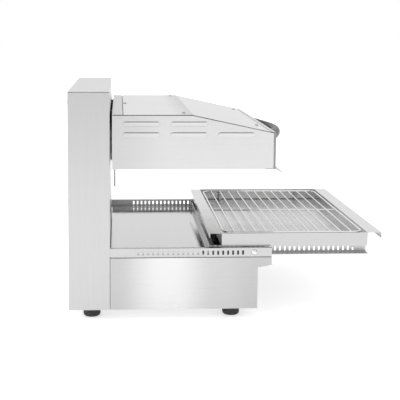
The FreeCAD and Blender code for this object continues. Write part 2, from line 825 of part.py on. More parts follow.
def element_terminals():
    """Ceramic sleeves with threaded studs on the tubes' cold ends."""
    return group([ring((x, y, insulation_top), (0, 0, 1), 8.0, element_radius, 12)
                  for x, y in element_ends()])


def probe_sleeve():
    return ring((probe_x, -probe_y, hood_bottom - 49), (0, 0, 1), probe_radius, 2.0, 62)


# ---- Rack, tray and grid ------------------------------------------------------------------
def rack_rail():
    y0 = -rail_web
    z0 = deck_height + heavy_sheet + fit_gap
    web = box(rack_rear, rack_front, y0, y0 + heavy_sheet, z0, gallery_top)
    edge = -half + rail_side_gap
    flange = box(rack_rear, rack_front, edge, y0, z0, z0 + heavy_sheet)
    ear = box(rack_rear, rack_rear + 3, edge + 2, y0, z0, gallery_top - heavy_sheet - fit_gap)
    lug_x = stop_x - stop_shank - fit_gap
    lug = box(lug_x - 3, lug_x, edge + 4, y0, z0, z0 + 12)
    slots = []
    count = int((rack_length - rail_slot_margin - 24) / slot_pitch)
    for i in range(count):
        x = rack_front - rail_slot_margin - i * slot_pitch
        slots.append(slot(x, z0 + 3.4, z0 + 3.4 + slot_height, y0 - 1, y0 + 3))
    return join([web, flange]).cut(slots).fuse([ear, lug]).removeSplitter()


def rack_bar(x):
    z0 = deck_height + heavy_sheet + fit_gap
    wide = rail_web - heavy_sheet
    line = [(x, z0 + 15), (x, z0), (x + 14, z0)]
    return bent_strip(line, heavy_sheet, -wide, wide)


def drip_tray():
    y1 = tray_half
    t = tray_sheet
    pan = box(tray_rear, tray_front, -y1, y1, tray_bottom, tray_top)
    well = box(tray_rear + t, tray_front - t, -y1 + t, y1 - t, tray_bottom + t, tray_top + 1)
    rear = bent_strip([(tray_rear - tray_rear_flange, tray_top - tray_rear_lip),
                       (tray_rear - tray_rear_flange, tray_top), (tray_rear + 0.5, tray_top)], t, -y1, y1)
    fore = bent_strip([(tray_front - 0.5, tray_top), (front_end, tray_top),
                       (front_end, tray_top - tray_front_lip)], t, -y1, y1)
    return join([pan.cut(well), rear, fore])


def grid_wire_x(i):
    first = tray_rear + grid_end_gap
    return first + i * (tray_front - grid_end_gap - first) / (grid_wires - 1)


def wire_grid():
    """Rounded wire frame with cross wires and one middle wire."""
    z = tray_top - 3.0
    x0 = grid_wire_x(0)
    x1 = grid_wire_x(grid_wires - 1)
    y1 = grid_half
    points = [(x0, 0, z), (x0, y1, z), (x1, y1, z), (x1, -y1, z), (x0, -y1, z), (x0, 0, z)]
    frame = tube(points, grid_corner, grid_frame_radius)
    wires = [cylinder((grid_wire_x(i), -y1, z), (0, 1, 0), grid_wire_radius, 2 * y1)
             for i in range(1, grid_wires - 1)]
    spine = cylinder((x0, 0, z - 1.5), (1, 0, 0), grid_wire_radius, x1 - x0)
    legs = []
    for x in (grid_wire_x(2), grid_wire_x(grid_wires - 3)):
        for y in (-y1, y1):
            legs.append(cylinder((x, y, tray_bottom + tray_sheet + fit_gap), (0, 0, 1), grid_frame_radius,
                                 z - tray_bottom - tray_sheet - fit_gap))
    return join([frame] + wires + [spine] + legs)


# ---- Everything by name -------------------------------------------------------------------
def build():
    left_and_right = {
        "column_side": column_side(),
        "base_side": base_side(),
        "gallery": gallery(),
        "hood_side": hood_side(),
        "rack_rail": rack_rail(),
    }
    for name, shape in left_and_right.items():
        nodes[name + "_left"] = shape
        nodes[name + "_right"] = mirrored(shape)
    nodes["column_front"] = column_front()
    nodes["column_cap"] = column_cap()
    nodes["back_panel"] = back_panel()
    nodes["casing_screws"] = group(back_screws() + foot_screws())
    nodes["base_pan"] = base_pan()
    nodes["control_panel"] = control_panel()
    nodes["deck"] = deck()
    nodes["stop_screws"] = group(pair(stop_screw()))
    nodes["feet"] = group([foot(x, y) for x, y in foot_places()])
    for name, y in zip(("a", "b"), knob_places):
        nodes["knob_" + name] = knob(y)
        nodes["spindle_" + name] = knob_spindle(y)
    nodes["regulators"] = group([regulator(y) for y in knob_places])
    nodes["lamps"] = group([lamp(y) for y in knob_places])
    nodes["switch_housing"] = switch_housing()
    nodes["switch_rocker"] = switch_rocker()
    nodes["terminal_block"] = terminal_block()
    nodes["cable_gland"] = cable_gland()
    nodes["guide_rods"] = group(pair(guide_rod()))
    nodes["rod_shelves"] = group([rod_shelf(z) for z in shelf_heights])
    nodes["carriage"] = carriage()
    nodes["carriage_bushes"] = carriage_bushes()
    nodes["lift_arms"] = group(pair(lift_arm()))
    nodes["pulleys"] = group(pair(pulley()))
    nodes["pulley_shaft"] = pulley_shaft()
    nodes["bearing_plates"] = group(pair(bearing_plate()))
    nodes["shaft_bushes"] = shaft_bushes()
    nodes["rope_bends"] = rope_bends()
    nodes["rope_hood_side"] = rope_strands(rope_front_x, carriage_high)
    nodes["rope_weight_side"] = rope_strands(rope_rear_x, weight_top + weight_eye)
    nodes["counterweight"] = counterweight()
    nodes["weight_shoes"] = weight_shoes()
    nodes["weight_channels"] = group(pair(weight_channel()))
    nodes["hood_cover"] = hood_cover()
    nodes["hood_back"] = hood_back()
    nodes["hood_fascia"] = hood_fascia()
    nodes["hood_screws"] = hood_screws()
    nodes["hood_handle"] = hood_handle()
    nodes["handle_bolts"] = handle_bolts()
    nodes["drip_lip"] = drip_lip()
    nodes["reflector"] = reflector()
    nodes["insulation"] = insulation()
    nodes["heating_elements"] = heating_elements()
    nodes["element_hangers"] = element_hangers()
    nodes["element_terminals"] = element_terminals()
    nodes["probe_sleeve"] = probe_sleeve()
    nodes["rack_bars"] = group([rack_bar(rack_rear + 4), rack_bar(rack_front - 18)])
    nodes["drip_tray"] = drip_tray()
    nodes["wire_grid"] = wire_grid()


build()
os.makedirs("parts", exist_ok=True)
for name, shape in nodes.items():
    shape.translate(V(-origin_x, 0, 0))
    shape.exportStep("parts/" + name + ".step")
print(len(nodes), "nodes; origin_x", round(origin_x, 3))
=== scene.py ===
import bmesh
import bpy
import json
import math
from mathutils import Matrix, Vector


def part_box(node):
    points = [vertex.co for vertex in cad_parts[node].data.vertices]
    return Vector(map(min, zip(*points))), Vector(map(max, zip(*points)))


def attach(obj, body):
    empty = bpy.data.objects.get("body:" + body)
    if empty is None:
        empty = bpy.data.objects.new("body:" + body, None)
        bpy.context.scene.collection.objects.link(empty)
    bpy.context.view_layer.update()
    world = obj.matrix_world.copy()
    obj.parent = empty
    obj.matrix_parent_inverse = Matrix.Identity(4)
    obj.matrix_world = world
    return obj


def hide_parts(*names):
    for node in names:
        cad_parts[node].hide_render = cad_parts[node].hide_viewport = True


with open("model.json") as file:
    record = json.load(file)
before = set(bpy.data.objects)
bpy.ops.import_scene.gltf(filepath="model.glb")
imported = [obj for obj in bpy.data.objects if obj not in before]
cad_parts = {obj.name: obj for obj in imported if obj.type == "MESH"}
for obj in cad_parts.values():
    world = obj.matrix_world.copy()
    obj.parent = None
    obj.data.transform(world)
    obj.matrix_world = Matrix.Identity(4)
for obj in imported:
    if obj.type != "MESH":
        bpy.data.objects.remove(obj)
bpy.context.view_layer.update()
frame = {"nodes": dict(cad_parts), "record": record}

record = frame["record"]
slotOf = {part["node"]: part["material_slot"] for part in record["subparts"]}
bodyOf = {node: body for body, nodes in record["behaviour"]["bodies"].items() for node in nodes}
print("frame loaded:", len(frame["nodes"]), "nodes")


# the hood's own lines, which its sides, cover, screws and finishes share
hood = {"flat": 0.181, "frontDrop": 0.041, "sheet": 0.0012,
        "rear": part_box("hood_back")[0].x, "face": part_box("hood_back")[0].y, "front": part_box("hood_fascia")[1].x,
        "top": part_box("hood_cover")[1].z, "half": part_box("hood_cover")[1].y}
hood["bend"] = hood["rear"] + hood["flat"]
hood["slope"] = hood["frontDrop"] / (hood["front"] - hood["bend"])


# node tree helpers
def plug(node, sockets):
    # links a socket, and sets anything else as the input's own value
    for key, value in sockets.items():
        if isinstance(value, bpy.types.NodeSocket):
            node.id_data.links.new(value, node.inputs[key])
        else:
            node.inputs[key].default_value = value


def addNode(tree, kind, sockets=None, **settings):
    made = tree.nodes.new(kind)
    for key, value in settings.items():
        setattr(made, key, value)
    plug(made, sockets or {})
    return made


def newTree(name, kind, inputs, outputs):
    tree = bpy.data.node_groups.new(name, kind)
    for label, socketKind, value in inputs:
        socket = tree.interface.new_socket(label, in_out="INPUT", socket_type="NodeSocket" + socketKind)
        if value is not None:
            socket.default_value = value
    for label, socketKind in outputs:
        tree.interface.new_socket(label, in_out="OUTPUT", socket_type="NodeSocket" + socketKind)
    return tree, addNode(tree, "NodeGroupInput"), addNode(tree, "NodeGroupOutput")


def maths(tree, operation, a, b=0.0, clamp=False):
    return addNode(tree, "ShaderNodeMath", {0: a, 1: b}, operation=operation, use_clamp=clamp).outputs[0]


def times(tree, a, b):
    return maths(tree, "MULTIPLY", a, b)


def spread(tree, value, low, high, toLow=0.0, toHigh=1.0, ease="LINEAR"):
    sockets = {"Value": value, "From Min": low, "From Max": high, "To Min": toLow, "To Max": toHigh}
    return addNode(tree, "ShaderNodeMapRange", sockets, interpolation_type=ease).outputs[0]


def coordinate(tree, axis=None, output="Object"):
    place = addNode(tree, "ShaderNodeTexCoord").outputs[output]
    return addNode(tree, "ShaderNodeSeparateXYZ", {0: place}).outputs[axis] if axis else place


def noise(tree, vector, scale, detail, distortion=0.0):
    sockets = {"Vector": vector, "Scale": scale, "Detail": detail, "Distortion": distortion}
    return addNode(tree, "ShaderNodeTexNoise", sockets).outputs[0]


def mixColour(tree, factor, a, b):
    return addNode(tree, "ShaderNodeMix", {0: factor, 6: a, 7: b}, data_type="RGBA").outputs[2]


def grey(value):
    return (value, value, value, 1.0)


# shared effects
def brushGrainGroup():
    tree, start, end = newTree(
        "brushGrain", "ShaderNodeTree",
        [("Stretch", "Vector", (5, 160, 160)), ("Fineness", "Float", 6.0)],
        [("Streak", "Float"), ("Height", "Float")])
    broad = addNode(tree, "ShaderNodeVectorMath", {0: coordinate(tree), 1: start.outputs["Stretch"]},
                    operation="MULTIPLY").outputs[0]
    tight = addNode(tree, "ShaderNodeVectorMath", {0: broad, "Scale": start.outputs["Fineness"]},
                    operation="SCALE").outputs[0]
    hair = noise(tree, tight, 1.0, 2.0)
    both = maths(tree, "ADD", times(tree, noise(tree, broad, 1.0, 3.0), 0.6), times(tree, hair, 0.4))
    plug(end, {"Streak": spread(tree, both, 0.32, 0.68), "Height": hair})
    return tree


def edgeWearGroup():
    tree, start, end = newTree(
        "edgeWear", "ShaderNodeTree",
        [("Breaks", "Float", 90.0)],
        [("Mask", "Float")])
    rim = addNode(tree, "ShaderNodeAttribute", attribute_name="rim").outputs["Fac"]
    patches = noise(tree, coordinate(tree), start.outputs["Breaks"], 4.0)
    plug(end, {"Mask": maths(tree, "MULTIPLY", rim, spread(tree, patches, 0.35, 0.6), True)})
    return tree


def handlingGroup():
    tree, start, end = newTree(
        "handlingMarks", "ShaderNodeTree",
        [("Size", "Float", 9.0), ("Low", "Float", 0.45), ("High", "Float", 0.75)],
        [("Mask", "Float")])
    blots = noise(tree, coordinate(tree), start.outputs["Size"], 5.0, 0.6)
    plug(end, {"Mask": spread(tree, blots, start.outputs["Low"], start.outputs["High"])})
    return tree


def settledDustGroup():
    tree, start, end = newTree(
        "settledDust", "ShaderNodeTree",
        [("Amount", "Float", 0.3), ("Scale", "Float", 60.0)],
        [("Mask", "Float")])
    upward = addNode(tree, "ShaderNodeSeparateXYZ",
                     {0: addNode(tree, "ShaderNodeNewGeometry").outputs["Normal"]}).outputs["Z"]
    specks = noise(tree, coordinate(tree), start.outputs["Scale"], 6.0)
    lying = times(tree, spread(tree, upward, 0.2, 1.0), spread(tree, specks, 0.35, 0.7))
    plug(end, {"Mask": maths(tree, "MULTIPLY", lying, start.outputs["Amount"], True)})
    return tree


def heatTintGroup():
    tree, start, end = newTree(
        "heatTint", "ShaderNodeTree",
        [("Scale", "Float", 14.0), ("Plain", "Color", grey(0.5))],
        [("Colour", "Color")])
    drift = noise(tree, coordinate(tree), start.outputs["Scale"], 3.0)
    straw = mixColour(tree, spread(tree, drift, 0.42, 0.55), start.outputs["Plain"], (0.42, 0.31, 0.17, 1))
    plug(end, {"Colour": mixColour(tree, spread(tree, drift, 0.56, 0.7), straw, (0.13, 0.14, 0.2, 1))})
    return tree


effects = {
    "grain": brushGrainGroup(),
    "wear": edgeWearGroup(),
    "marks": handlingGroup(),
    "dust": settledDustGroup(),
    "heat": heatTintGroup(),
}


def addEffect(tree, name, **inputs):
    return addNode(tree, "ShaderNodeGroup", inputs, node_tree=effects[name])


finishes = {}


def newFinish(name):
    finishes[name] = bpy.data.materials.new(name)
    finishes[name].use_nodes = True
    tree = finishes[name].node_tree
    return tree, tree.nodes["Principled BSDF"]


def relief(tree, strength, height):
    sockets = {"Strength": strength, "Distance": 0.0002, "Height": height}
    return addNode(tree, "ShaderNodeBump", sockets).outputs[0]


# metal finishes
def steelFinish(name, tone, rough, along="x", streak=0.07, wear=0.35, bump=0.06, marks=0.03, band=None,
                duller=(), crease=None, walls=0.0, crust=None):
    # band: a painted sheen, a soft bright stretch standing in for a reflected light; duller: (axis, start, end,
    # amount) stretches of painted shade, darker where less light falls
    # crease: (bend, reach, amount) of painted shade on the sheet, darker up to its fold line
    # walls: how much painted shade darkens the outer side faces against the rest
    # crust: (height, reach, amount) of painted shade, dark brown at the foot of the inner side faces
    tree, shader = newFinish(name)
    stretch = {"x": (4, 150, 150), "y": (150, 4, 150), "z": (150, 150, 4), "none": (45, 45, 45)}[along]
    grain = addEffect(tree, "grain", Stretch=stretch)
    streaks = grain.outputs["Streak"]
    # colour of the painted shade, shared by the shade stretches, the crease and the walls
    shadeColour = grey(tone * 0.3)
    colour = mixColour(tree, streaks, grey(tone * (1 - streak)), grey(min(1, tone * (1 + streak))))
    # painted sheen: a soft bright band in the colour, standing in for a reflected light
    if band:
        away = maths(tree, "ABSOLUTE", maths(tree, "SUBTRACT", coordinate(tree, "X"), band["middle"]))
        sheenMask = spread(tree, away, band["core"], band["reach"], band["gain"], 0.0, "SMOOTHSTEP")
        colour = mixColour(tree, sheenMask, colour, grey(0.98))
    # painted shade: darker stretches along an axis, standing in for less light falling there
    for axis, low, high, amount in duller:
        shadeMask = spread(tree, coordinate(tree, axis), low, high, amount, 0.0, "SMOOTHSTEP")
        colour = mixColour(tree, shadeMask, colour, shadeColour)
    # painted shade on the flat top, darkening towards the fold line
    if crease:
        bend, reach, amount = crease
        across = coordinate(tree, "X")
        creaseShadeMask = times(tree, spread(tree, across, bend - reach, bend, 0.0, amount),
                      spread(tree, across, bend, bend + 0.0015, 1.0, 0.0))
        colour = mixColour(tree, creaseShadeMask, colour, shadeColour)
    # painted shade on the outer side faces, darker by which way they face
    if walls:
        outside = times(tree, coordinate(tree, "Y", "Normal"), coordinate(tree, "Y"))
        colour = mixColour(tree, spread(tree, outside, 0.14, 0.25, 0.0, walls), colour, shadeColour)
    # painted shade, dark brown, in the corner where the inner side faces meet the tray floor
    if crust:
        foot, reach, amount = crust
        inner = spread(tree, outside, -0.14, -0.25, 0.0, amount)
        low = spread(tree, coordinate(tree, "Z"), foot + reach * 0.5, foot + reach, 1.0, 0.0)
        colour = mixColour(tree, times(tree, inner, low), colour, (0.06, 0.045, 0.035, 1))
    rims = times(tree, addEffect(tree, "wear").outputs["Mask"], wear)
    smudges = times(tree, addEffect(tree, "marks").outputs["Mask"], marks)
    plug(shader, {"Base Color": mixColour(tree, rims, colour, grey(0.9)), "Metallic": 1.0,
                  "Roughness": maths(tree, "ADD", spread(tree, streaks, 0.0, 1.0, rough * 0.85, rough * 1.15),
                                     smudges, True),
                  "Normal": relief(tree, bump, grain.outputs["Height"])})


def heatedFinish(name, tone, rough, scale):
    tree, shader = newFinish(name)
    tint = addEffect(tree, "heat", Scale=scale, Plain=grey(tone)).outputs["Colour"]
    scaling = addEffect(tree, "marks", Size=70.0).outputs["Mask"]
    plug(shader, {"Base Color": mixColour(tree, times(tree, scaling, 0.4), tint, grey(0.12)), "Metallic": 0.9,
                  "Roughness": spread(tree, scaling, 0.0, 1.0, rough, min(1, rough + 0.2)),
                  "Normal": relief(tree, 0.2, scaling)})


# plastics, rubber, paint, ceramic and fibre
def mouldedFinish(name, colour, rough, grainScale=900.0, bump=0.2, dust=0.15, wear=0.2, coat=0.0, metallic=0.0,
                  gloss=0.5):
    tree, shader = newFinish(name)
    pebble = noise(tree, coordinate(tree), grainScale, 2.0)
    cloud = addEffect(tree, "marks", Size=18.0).outputs["Mask"]
    lying = addEffect(tree, "dust", Amount=dust).outputs["Mask"]
    rims = times(tree, addEffect(tree, "wear").outputs["Mask"], wear)
    deep = (*[c * 0.8 for c in colour], 1)
    pale = (*[min(1.0, c * 1.6 + 0.08) for c in colour], 1)
    shade = mixColour(tree, rims, mixColour(tree, cloud, (*colour, 1), deep), pale)
    plug(shader, {"Base Color": mixColour(tree, lying, shade, (0.5, 0.48, 0.45, 1)), "Metallic": metallic,
                  "Roughness": spread(tree, pebble, 0.3, 0.7, rough * 0.85, min(1, rough * 1.15)),
                  "Coat Weight": coat, "Specular IOR Level": gloss, "Normal": relief(tree, bump, pebble)})


# painted black above, bare steel below, where the arm passes the hood's rear wall
arm = {"paint": (0.012, 0.012, 0.013, 1), "bare": 0.34, "level": 0.437, "feather": 0.012}


def armFinish(name):
    tree, shader = newFinish(name)
    painted = spread(tree, coordinate(tree, "Z"), arm["level"] - arm["feather"], arm["level"] + arm["feather"])
    scuffs = addEffect(tree, "marks", Size=40.0).outputs["Mask"]
    colour = mixColour(tree, painted, grey(arm["bare"]), arm["paint"])
    plug(shader, {"Base Color": mixColour(tree, times(tree, scuffs, 0.06), colour, grey(0.5)),
                  "Roughness": spread(tree, painted, 0.0, 1.0, 0.22, 0.42),
                  "Metallic": maths(tree, "SUBTRACT", 1.0, painted)})


# painted sheen on the base side, and painted shade stretches on the base, hood and column
baseSheenBand = {"middle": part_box("base_side_left")[0].x + 0.132, "core": 0.012, "reach": 0.115, "gain": 0.36}
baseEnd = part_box("base_side_left")[1].x
baseShade = (("X", baseEnd - 0.03, baseEnd - 0.12, 0.16), ("X", baseEnd - 0.37, baseEnd - 0.30, 0.10))
hoodShade = (("X", hood["rear"], hood["rear"] + 0.14, 0.18),)
columnShade = (("Z", 0.50, 0.28, 0.09),)

steelFinish("columnSteel", 0.52, 0.33, "z", 0.03, duller=columnShade)
steelFinish("capSteel", 0.56, 0.30, "y", 0.03)
steelFinish("hoodSteel", 0.58, 0.30, "x", 0.03, duller=hoodShade)
steelFinish("coverSteel", 0.67, 0.32, "y", 0.03, crease=(hood["bend"], 0.045, 0.36))
steelFinish("baseSteel", 0.50, 0.30, "x", 0.03, band=baseSheenBand, duller=baseShade)
steelFinish("frontSteel", 0.58, 0.30, "y", 0.04)
steelFinish("gallerySteel", 0.50, 0.26, "x", 0.03)
steelFinish("mirrorDeck", 0.52, 0.09, "y", 0.02, bump=0.03, marks=0.06)
steelFinish("traySteel", 0.63, 0.24, "x", 0.03, bump=0.08, walls=0.34,
            crust=(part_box("drip_tray")[0].z, 0.0045, 0.8))
steelFinish("fasciaSteel", 0.58, 0.30, "y", 0.04, walls=0.8)
steelFinish("railSteel", 0.46, 0.28, "x", 0.05)
steelFinish("chromeWire", 0.72, 0.10, "none", 0.02, bump=0.02)
steelFinish("brightScrew", 0.70, 0.18, "none", 0.04, bump=0.05)
steelFinish("darkScrew", 0.34, 0.30, "none", 0.06, bump=0.05)
steelFinish("groundRod", 0.75, 0.12, "none", 0.02, bump=0.02)
mouldedFinish("bronzeBush", (0.50, 0.32, 0.14), 0.35, 300.0, 0.1, 0.0, 0.3, metallic=1.0)
steelFinish("ropeSteel", 0.45, 0.40, "none", 0.2, bump=0.3)
mouldedFinish("liftSteel", (0.30, 0.31, 0.32), 0.45, 500.0, 0.15, 0.1)
armFinish("armSteel")
steelFinish("lipSteel", 0.40, 0.30, "y", 0.03)
mouldedFinish("weightIron", (0.07, 0.07, 0.075), 0.75, 350.0, 0.6, 0.2, metallic=0.3)
mouldedFinish("handleGrip", (0.010, 0.010, 0.011), 0.30, 1200.0, 0.06, 0.02, 0.1, gloss=0.12)
mouldedFinish("knobPlastic", (0.016, 0.016, 0.018), 0.38, 1300.0, 0.20, 0.08)
mouldedFinish("pointerWhite", (0.82, 0.82, 0.80), 0.45, 1500.0, 0.05, 0.05)
mouldedFinish("rockerPlastic", (0.35, 0.03, 0.02), 0.22, 1500.0, 0.05, 0.05, coat=0.3)
mouldedFinish("lampLens", (0.80, 0.20, 0.04), 0.15, 1500.0, 0.02, 0.03, coat=0.6)
mouldedFinish("rubberFoot", (0.022, 0.022, 0.023), 0.62, 700.0, 0.35, 0.25)
mouldedFinish("regulatorCase", (0.10, 0.08, 0.06), 0.5)
mouldedFinish("pulleyNylon", (0.75, 0.74, 0.68), 0.45, 600.0, 0.1)
mouldedFinish("terminalCeramic", (0.84, 0.80, 0.72), 0.38, 500.0, 0.12, 0.1, coat=0.2)
mouldedFinish("insulationFibre", (0.82, 0.79, 0.72), 0.95, 240.0, 0.9, 0.1)
heatedFinish("elementTube", 0.24, 0.42, 22.0)
heatedFinish("elementSupport", 0.45, 0.38, 30.0)
steelFinish("reflectorSteel", 0.72, 0.12, "y", 0.02, bump=0.03, marks=0.10)


def camelName(words):
    first, *rest = words.split("_")
    return first + "".join(word.capitalize() for word in rest)


slotFinish = {"stainless": "frontSteel", "mirror_steel": "mirrorDeck", "insulation_board": "insulationFibre"}


def finishOf(nodeName):
    return slotFinish.get(slotOf[nodeName], camelName(slotOf[nodeName]))


for nodeName, node in frame["nodes"].items():
    node.data.materials.clear()
    node.data.materials.append(finishes[finishOf(nodeName)])
print("finishes made:", len(finishes))


# mesh helpers
def newObject(name, mesh):
    piece = bpy.data.objects.new(name, mesh)
    bpy.context.scene.collection.objects.link(piece)
    return piece


def meshObject(name, bm, finish):
    mesh = bpy.data.meshes.new(name)
    bm.to_mesh(mesh)
    bm.free()
    mesh.materials.append(finishes[finish])
    return newObject(name, mesh)


def evaluatedMesh(piece):
    bpy.context.view_layer.update()
    return bpy.data.meshes.new_from_object(piece.evaluated_get(bpy.context.evaluated_depsgraph_get()))


def bakeModifiers(piece):
    mesh = evaluatedMesh(piece)
    piece.modifiers.clear()
    piece.data = mesh
    return piece


def shadeSmooth(piece, angle):
    piece.data.polygons.foreach_set("use_smooth", [True] * len(piece.data.polygons))
    piece.data.set_sharp_from_angle(angle=math.radians(angle))
    return piece


def markRims(mesh, index):
    # rolled faces carry rim = 1, which the finishes read as handled edges
    indices = [0] * len(mesh.polygons)
    mesh.polygons.foreach_get("material_index", indices)
    rims = mesh.attributes.new("rim", "FLOAT", "FACE")
    rims.data.foreach_set("value", [float(k == index) for k in indices])
    mesh.polygons.foreach_set("material_index", [0 if k == index else k for k in indices])
    mesh.materials.pop(index=index)


def addModifier(piece, kind, **settings):
    made = piece.modifiers.new(kind.lower(), kind)
    for key, value in settings.items():
        setattr(made, key, value)


def soften(piece, edge, smooth=38, thickness=0.0):
    # gives a sheet its thickness and rolls its edges
    if thickness:
        addModifier(piece, "SOLIDIFY", thickness=thickness, offset=-1.0)
    if edge:
        plain = len(piece.data.materials)
        piece.data.materials.append(piece.data.materials[0])
        addModifier(piece, "BEVEL", width=edge, segments=2, limit_method="ANGLE",
                    angle_limit=math.radians(smooth), use_clamp_overlap=True, material=plain)
    bakeModifiers(piece)
    if edge:
        markRims(piece.data, plain)
    shadeSmooth(piece, smooth)
    if edge:
        addModifier(piece, "WEIGHTED_NORMAL", keep_sharp=True)
        bakeModifiers(piece)
    return piece


def settle(piece, body, slotName, *replaced):
    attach(piece, body)
    if replaced:
        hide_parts(*replaced)
    return piece


def packedPiece(name, nodeName, finish, edge, reshape=None, smooth=38):
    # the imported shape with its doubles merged, reshaped where asked, with rolled edges
    bm = bmesh.new()
    bm.from_mesh(frame["nodes"][nodeName].data)
    bmesh.ops.remove_doubles(bm, verts=bm.verts, dist=1e-6)
    bmesh.ops.dissolve_limit(bm, angle_limit=math.radians(0.4), verts=bm.verts, edges=bm.edges)
    if reshape:
        for vert in bm.verts:
            reshape(vert.co, *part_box(nodeName))
    piece = meshObject(name, bm, finish)
    for layer in [a for a in piece.data.attributes if a.name == "custom_normal"]:
        piece.data.attributes.remove(layer)
    settle(soften(piece, edge, smooth=smooth), bodyOf[nodeName], slotOf[nodeName], nodeName)


def turned(bm, profile, steps, origin=(0, 0, 0), axis="Z", flute=0.0, flutes=0):
    # profile is (radius, height) pairs; a radius of zero closes the end
    base = Vector(origin)
    turn = {"Z": Matrix.Identity(3), "X": Matrix.Rotation(math.pi / 2, 3, "Y"),
            "-X": Matrix.Rotation(-math.pi / 2, 3, "Y"), "-Y": Matrix.Rotation(math.pi / 2, 3, "X")}[axis]
    rings = []
    for radius, height in profile:
        if radius < 1e-7:
            rings.append([bm.verts.new(base + turn @ Vector((0, 0, height)))])
            continue
        ring = []
        for k in range(steps):
            angle = 2 * math.pi * k / steps
            r = radius * (1 - flute * (0.5 + 0.5 * math.cos(flutes * angle)))
            ring.append(bm.verts.new(base + turn @ Vector((r * math.cos(angle), r * math.sin(angle), height))))
        rings.append(ring)
    for low, high in zip(rings, rings[1:]):
        for k in range(steps):
            j = (k + 1) % steps
            if len(low) == 1 and len(high) > 1:
                bm.faces.new((low[0], high[j], high[k]))
            elif len(high) == 1 and len(low) > 1:
                bm.faces.new((low[k], low[j], high[0]))
            elif len(low) > 1:
                bm.faces.new((low[k], low[j], high[j], high[k]))
    return bm


def outward(bm):
    bmesh.ops.recalc_face_normals(bm, faces=bm.faces)
    return bm


def brick(bm, low, high):
    low, high = Vector(low), Vector(high)
    for vert in bmesh.ops.create_cube(bm, size=1.0)["verts"]:
        vert.co = (low + high) / 2 + vert.co * (high - low)


def roundedPath(points, bend, steps=8, closed=False):
    # straight runs joined by arcs
    corners = [Vector(p) for p in points]
    count = len(corners)
    path = []
    for k, corner in enumerate(corners):
        if not closed and k in (0, count - 1):
            path.append(corner)
            continue
        a = (corners[k - 1] - corner).normalized()
        b = (corners[(k + 1) % count] - corner).normalized()
        halfAngle = a.angle(b) / 2
        reach = bend / math.tan(halfAngle)
        middle = corner + (a + b).normalized() * (bend / math.sin(halfAngle))
        first, last = corner + a * reach - middle, corner + b * reach - middle
        sweep = first.angle(last)
        for s in range(steps + 1):
            share = s / steps
            spoke = (first * math.sin((1 - share) * sweep) + last * math.sin(share * sweep)) / math.sin(sweep)
            path.append(middle + spoke)
    return path


def tubeObject(name, paths, radius, finish, closed=False, sides=5):
    curve = bpy.data.curves.new(name, "CURVE")
    curve.dimensions = "3D"
    curve.bevel_depth = radius
    curve.bevel_resolution = sides
    curve.use_fill_caps = True
    for path in paths:
        spline = curve.splines.new("POLY")
        spline.points.add(len(path) - 1)
        for point, place in zip(spline.points, path):
            point.co = (*place, 1)
        spline.use_cyclic_u = closed
    holder = newObject(name + "Line", curve)
    mesh = evaluatedMesh(holder)
    bpy.data.objects.remove(holder)
    mesh.name = name
    mesh.materials.clear()
    mesh.materials.append(finishes[finish])
    return newObject(name, mesh)


def joined(name, pieces):
    bm = bmesh.new()
    slots = []
    for piece in pieces:
        shift = len(slots)
        slots.extend(piece.data.materials)
        before = len(bm.faces)
        bm.from_mesh(piece.data)
        bm.faces.ensure_lookup_table()
        for face in bm.faces[before:]:
            face.material_index += shift
        bpy.data.objects.remove(piece)
    mesh = bpy.data.meshes.new(name)
    bm.to_mesh(mesh)
    bm.free()
    for material in slots:
        mesh.materials.append(material)
    return newObject(name, mesh)


# repeating things, by geometry nodes
def paintedCopies(tree, end, points, piece, facing, finish):
    shape = addNode(tree, "GeometryNodeObjectInfo", {"Object": piece})
    copies = addNode(tree, "GeometryNodeInstanceOnPoints",
                     {"Points": points, "Instance": shape.outputs["Geometry"], "Rotation": facing.outputs[0]})
    real = addNode(tree, "GeometryNodeRealizeInstances", {0: copies.outputs[0]})
    painted = addNode(tree, "GeometryNodeSetMaterial", {"Geometry": real.outputs[0], "Material": finish})
    plug(end, {0: painted.outputs[0]})


def gridTree():
    tree, start, end = newTree(
        "rowsOfPieces", "GeometryNodeTree",
        [("Piece", "Object", None), ("Start", "Vector", (0, 0, 0)),
         ("Across", "Int", 2), ("Step", "Vector", (0.1, 0, 0)),
         ("Rows", "Int", 1), ("Row Step", "Vector", (0, 0.1, 0)),
         ("Turn", "Vector", (0, 0, 0)), ("Finish", "Material", None)],
        [("Geometry", "Geometry")])
    line = addNode(tree, "GeometryNodeMeshLine",
                   {"Count": start.outputs["Across"], "Start Location": start.outputs["Start"],
                    "Offset": start.outputs["Step"]})
    rows = addNode(tree, "GeometryNodeMeshLine",
                   {"Count": start.outputs["Rows"], "Offset": start.outputs["Row Step"]})
    spreadOut = addNode(tree, "GeometryNodeInstanceOnPoints",
                        {"Points": rows.outputs[0], "Instance": line.outputs[0]})
    points = addNode(tree, "GeometryNodeRealizeInstances", {0: spreadOut.outputs[0]})
    facing = addNode(tree, "FunctionNodeEulerToRotation", {0: start.outputs["Turn"]})
    paintedCopies(tree, end, points.outputs[0], start.outputs["Piece"], facing, start.outputs["Finish"])
    return tree


def studTree():
    tree, start, end = newTree(
        "studsOnFaces", "GeometryNodeTree",
        [("Places", "Geometry", None), ("Stud", "Object", None),
         ("Finish", "Material", None)],
        [("Geometry", "Geometry")])
    facing = addNode(tree, "GeometryNodeInputNamedAttribute", {"Name": "facing"}, data_type="FLOAT_VECTOR")
    aimed = addNode(tree, "FunctionNodeAlignRotationToVector", {"Vector": facing.outputs[0]}, axis="Z")
    paintedCopies(tree, end, start.outputs["Places"], start.outputs["Stud"], aimed, start.outputs["Finish"])
    return tree


repeats = {"rows": gridTree(), "studs": studTree()}


